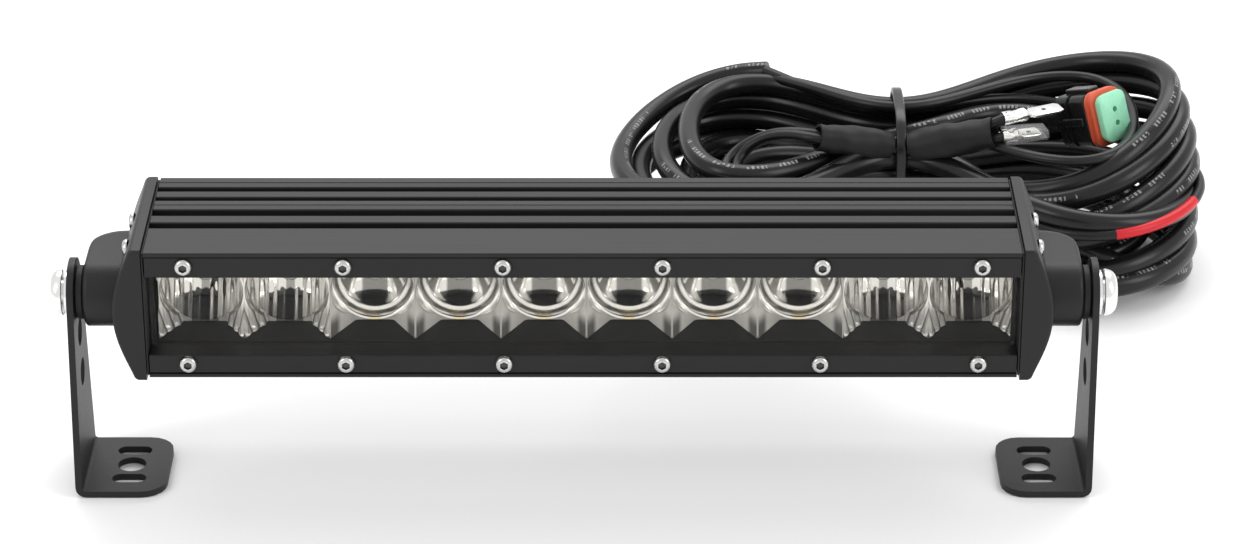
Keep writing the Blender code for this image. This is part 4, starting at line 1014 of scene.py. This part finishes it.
def cup(fluted, columns=144):
    """One cup as a closed ring of surface, about its own axis. From its LED hole a paraboloid opens
    to a round mouth, a short wall comes forward, and webs fill the corners of the cell out to two
    cusps. A flat back closes it. A fluted bowl follows chords of the paraboloid between flutes, with
    half a wave on each, and its webs come down in steps."""
    angle = (np.arange(columns) + 0.5) * 2 * np.pi / columns
    c, s = np.cos(angle), np.sin(angle)
    edge = np.minimum(HALF_CELL / np.abs(c), HALF_TALL / np.abs(s))
    mouth = np.minimum(CUP_MOUTH, edge)
    bowl = np.linspace(0, 1, 34)[:, None] * (mouth - LED_HOLE) + LED_HOLE
    bowl_y = CUP_DEEP - bowl**2 / FOUR_FOCUS
    outer = np.linspace(0, 1, 15)[:, None] * (edge - mouth) + mouth
    lean, foremost, rearmost = 0.42 * (HALF_TALL - np.abs(outer * s)), -4.9, 7.6
    web = np.clip(8.6 - 1.78 * (np.abs(outer * c) - 5.0) + lean, foremost, rearmost)
    if fluted:
        over = np.abs(bowl * c)
        knots = np.concatenate([[0.0], FIRST_FLUTE + FLUTE_WIDE * np.arange(6)])
        chord = np.interp(over, knots, knots**2)
        rib = np.sin(np.pi * (over - FIRST_FLUTE) / FLUTE_WIDE) ** 2
        share = np.clip((bowl - LED_HOLE) / 3.0, 0, 1)
        bowl_y = bowl_y - share * ((chord - over**2) / FOUR_FOCUS + 0.16 * rib)
        step = 3.3
        web = np.floor(web / step) * step + step * np.clip((web / step % 1) * 3 - 1.2, 0, 1)
        web = np.clip(web, foremost, rearmost)
    else:
        rim_radius, rim_y = (9.4, 9.7, 10.7, 11.7, 12.4), (9.6, 9.35, 9.15, 6.9, 6.6)
        bowl_y = np.where(bowl > 9.4, np.interp(bowl, rim_radius, rim_y), bowl_y)
    web = np.where(edge > CUP_MOUTH, web, bowl_y[-1])
    share = np.linspace(0, 1, 5)[1:, None]
    wall_y = bowl_y[-1] * (1 - share) + web[0] * share
    wall = np.repeat(mouth[None], 4, 0)
    radius = np.concatenate([bowl, wall, outer, edge[None], np.full((1, columns), LED_HOLE)])
    y = np.concatenate([bowl_y, wall_y, web, np.full((2, columns), CUP_BACK)])
    return np.stack([radius * c, y, radius * s], 2)


cup_middles = 0.9 + (np.arange(10) - 4.5) * CUP_PITCH
for name, chosen, fluted, node in (
    ("flood_cups_left", cup_middles[:2], True, "reflector_flood_left"),
    ("spot_cups", cup_middles[2:8], False, "reflector_spot"),
    ("flood_cups_right", cup_middles[8:], True, "reflector_flood_right"),
):
    shape = cup(fluted)
    marks = np.tile(shape.reshape(-1, 3), (len(chosen), 1))
    sheets = [(on_bar(shape + (middle, 0, 0)), True, True) for middle in chosen]
    cups = piece(name, sheets, metallised(name, fluted), 50, marks)
    stands_for(cups, "metallised_plastic", node)

# ---------------------------------------------------------------- boards and LEDs
# A white board with ten yellow LEDs, held by four screws behind the reflectors, and the green
# driver board behind the web.

board = Finish("white_solder_mask", Specular_IOR_Level=0.5, Roughness=0.4)
board.mottled(200, 3, (0.72, 0.72, 0.70), (0.80, 0.80, 0.78))
finished(board.material, "led_board")
mask = Finish("green_solder_mask", Specular_IOR_Level=0.5, Roughness=0.35)
mask.mottled(250, 3, (0.02, 0.14, 0.06), (0.03, 0.20, 0.09))
finished(mask.material, "driver_board")
finished(stainless.material, *[f"board_screw_{k}" for k in range(1, 5)])
phosphor = Finish("led_phosphor", Specular_IOR_Level=0.5, Roughness=0.25)
phosphor.mottled(900, 2, (0.85, 0.60, 0.12), (0.92, 0.70, 0.2))
LED_RADIUS, BOARD_FACE = 1.5, 12.7
dome_turn = np.linspace(0, np.pi / 2, 9)
dome_rows = zip(0.2 + 1.0 * np.sin(dome_turn), LED_RADIUS * np.cos(dome_turn) + 1e-6)
dome_rows = [(0, 0.0), (0, LED_RADIUS), *dome_rows]
led_places = [(middle, BOARD_FACE, 0) for middle in cup_middles]
led_sheets = [(on_bar(turned(dome_rows, place, (0, -1, 0), 32)), False, True) for place in led_places]
leds = piece("led_domes", led_sheets, phosphor.material)
stands_for(leds, "white_solder_mask", body=housing["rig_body"])

# ---------------------------------------------------------------- mounting bolts and washers
# On each side a zinc-plated button-head bolt clamps the bracket to the boss, with a rubber
# spacer inside the bracket and a split lock washer under the head.

zinc = Finish("bright_steel", Metallic=1.0)
zinc.mottled(200, 3, (0.74, 0.74, 0.73), (0.88, 0.88, 0.87))
zinc.set(Roughness=0.13 + zinc.noise(500, 3) * 0.14)
zinc.relief(zinc.noise(700, 3), 0.04, 0.5)

SPACER_AT, WASHER_AT, HEAD_AT = 146.5, 151.75, 152.8


def lock_washer(side, columns=90):
    """A square section carried round most of a circle, a little further along the axis at each
    angle, so that its ends are sprung apart at a gap."""
    half_gap, spring = 0.12, 0.12
    angle = np.linspace(half_gap, 2 * np.pi - half_gap, columns) + 1.2
    section = np.array([(-0.55, 4.1), (-0.55, 6.4), (-0.45, 6.5), (0.45, 6.5), (0.55, 6.4), (0.55, 4.1)])
    x = side * (WASHER_AT + section[:, :1] + np.linspace(-spring, spring, columns))
    y, z = section[:, 1:] * np.cos(angle), section[:, 1:] * np.sin(angle)
    points = np.stack([np.broadcast_to(x, y.shape), y, z], 2).transpose(1, 0, 2)
    ends = [np.broadcast_to(points[k].mean(0), points[k].shape)[None] for k in (0, -1)]
    return on_bar(np.concatenate([ends[0], points, ends[1]])), False, True


shank_rows = [(-17.0, 0.0), (-17.0, 3.2), (-16.4, 3.8), (0.0, 3.8), (0.0, 0.0)]
spacer_rows = [(0, 4.2), (0, 7.6), (0.35, 8.0), (1.85, 8.0), (2.2, 7.6), (2.2, 4.2)]
for word, side in (("left", -1), ("right", 1)):
    out = (side, 0, 0)
    head = button((side * HEAD_AT, 0, 0), out, 6.9, 4.0, 2.5, 96)
    shank = on_bar(turned(shank_rows, (side * (HEAD_AT + 0.1), 0, 0), out, 48))
    bolt = piece("bolt_" + word, [head, (shank, False, True)], zinc.material, 32)
    stands_for(bolt, "bright_steel", "mounting_bolt_" + word)
    split = piece("split_washer_" + word, [lock_washer(side)], zinc.material, 30)
    stands_for(split, "bright_steel", "lock_washer_" + word)
    ring = on_bar(turned(spacer_rows, (side * SPACER_AT, 0, 0), out, 64))
    spacer = piece("spacer_" + word, [(ring, True, True)], rubber.material, 35)
    stands_for(spacer, "black_rubber", "spacer_washer_" + word)

# ---------------------------------------------------------------- mounting brackets
# Two feet bent from 2 mm steel strip and powder coated, with a row of bolt holes up the arm and
# a hole and two slots in the foot. Each turns on its mounting bolt.

for word in ("left", "right"):
    softened("bracket_arm_" + word, "bracket_" + word, powder.material, "black_powder_coat", 0.28)

# ---------------------------------------------------------------- cable gland
# A moulded nylon nut and collar, screwed into the housing's back wall. The lead leaves the lamp
# through it.

softened("gland_nut", "cable_gland", nylon.material, "black_nylon", 0.3)
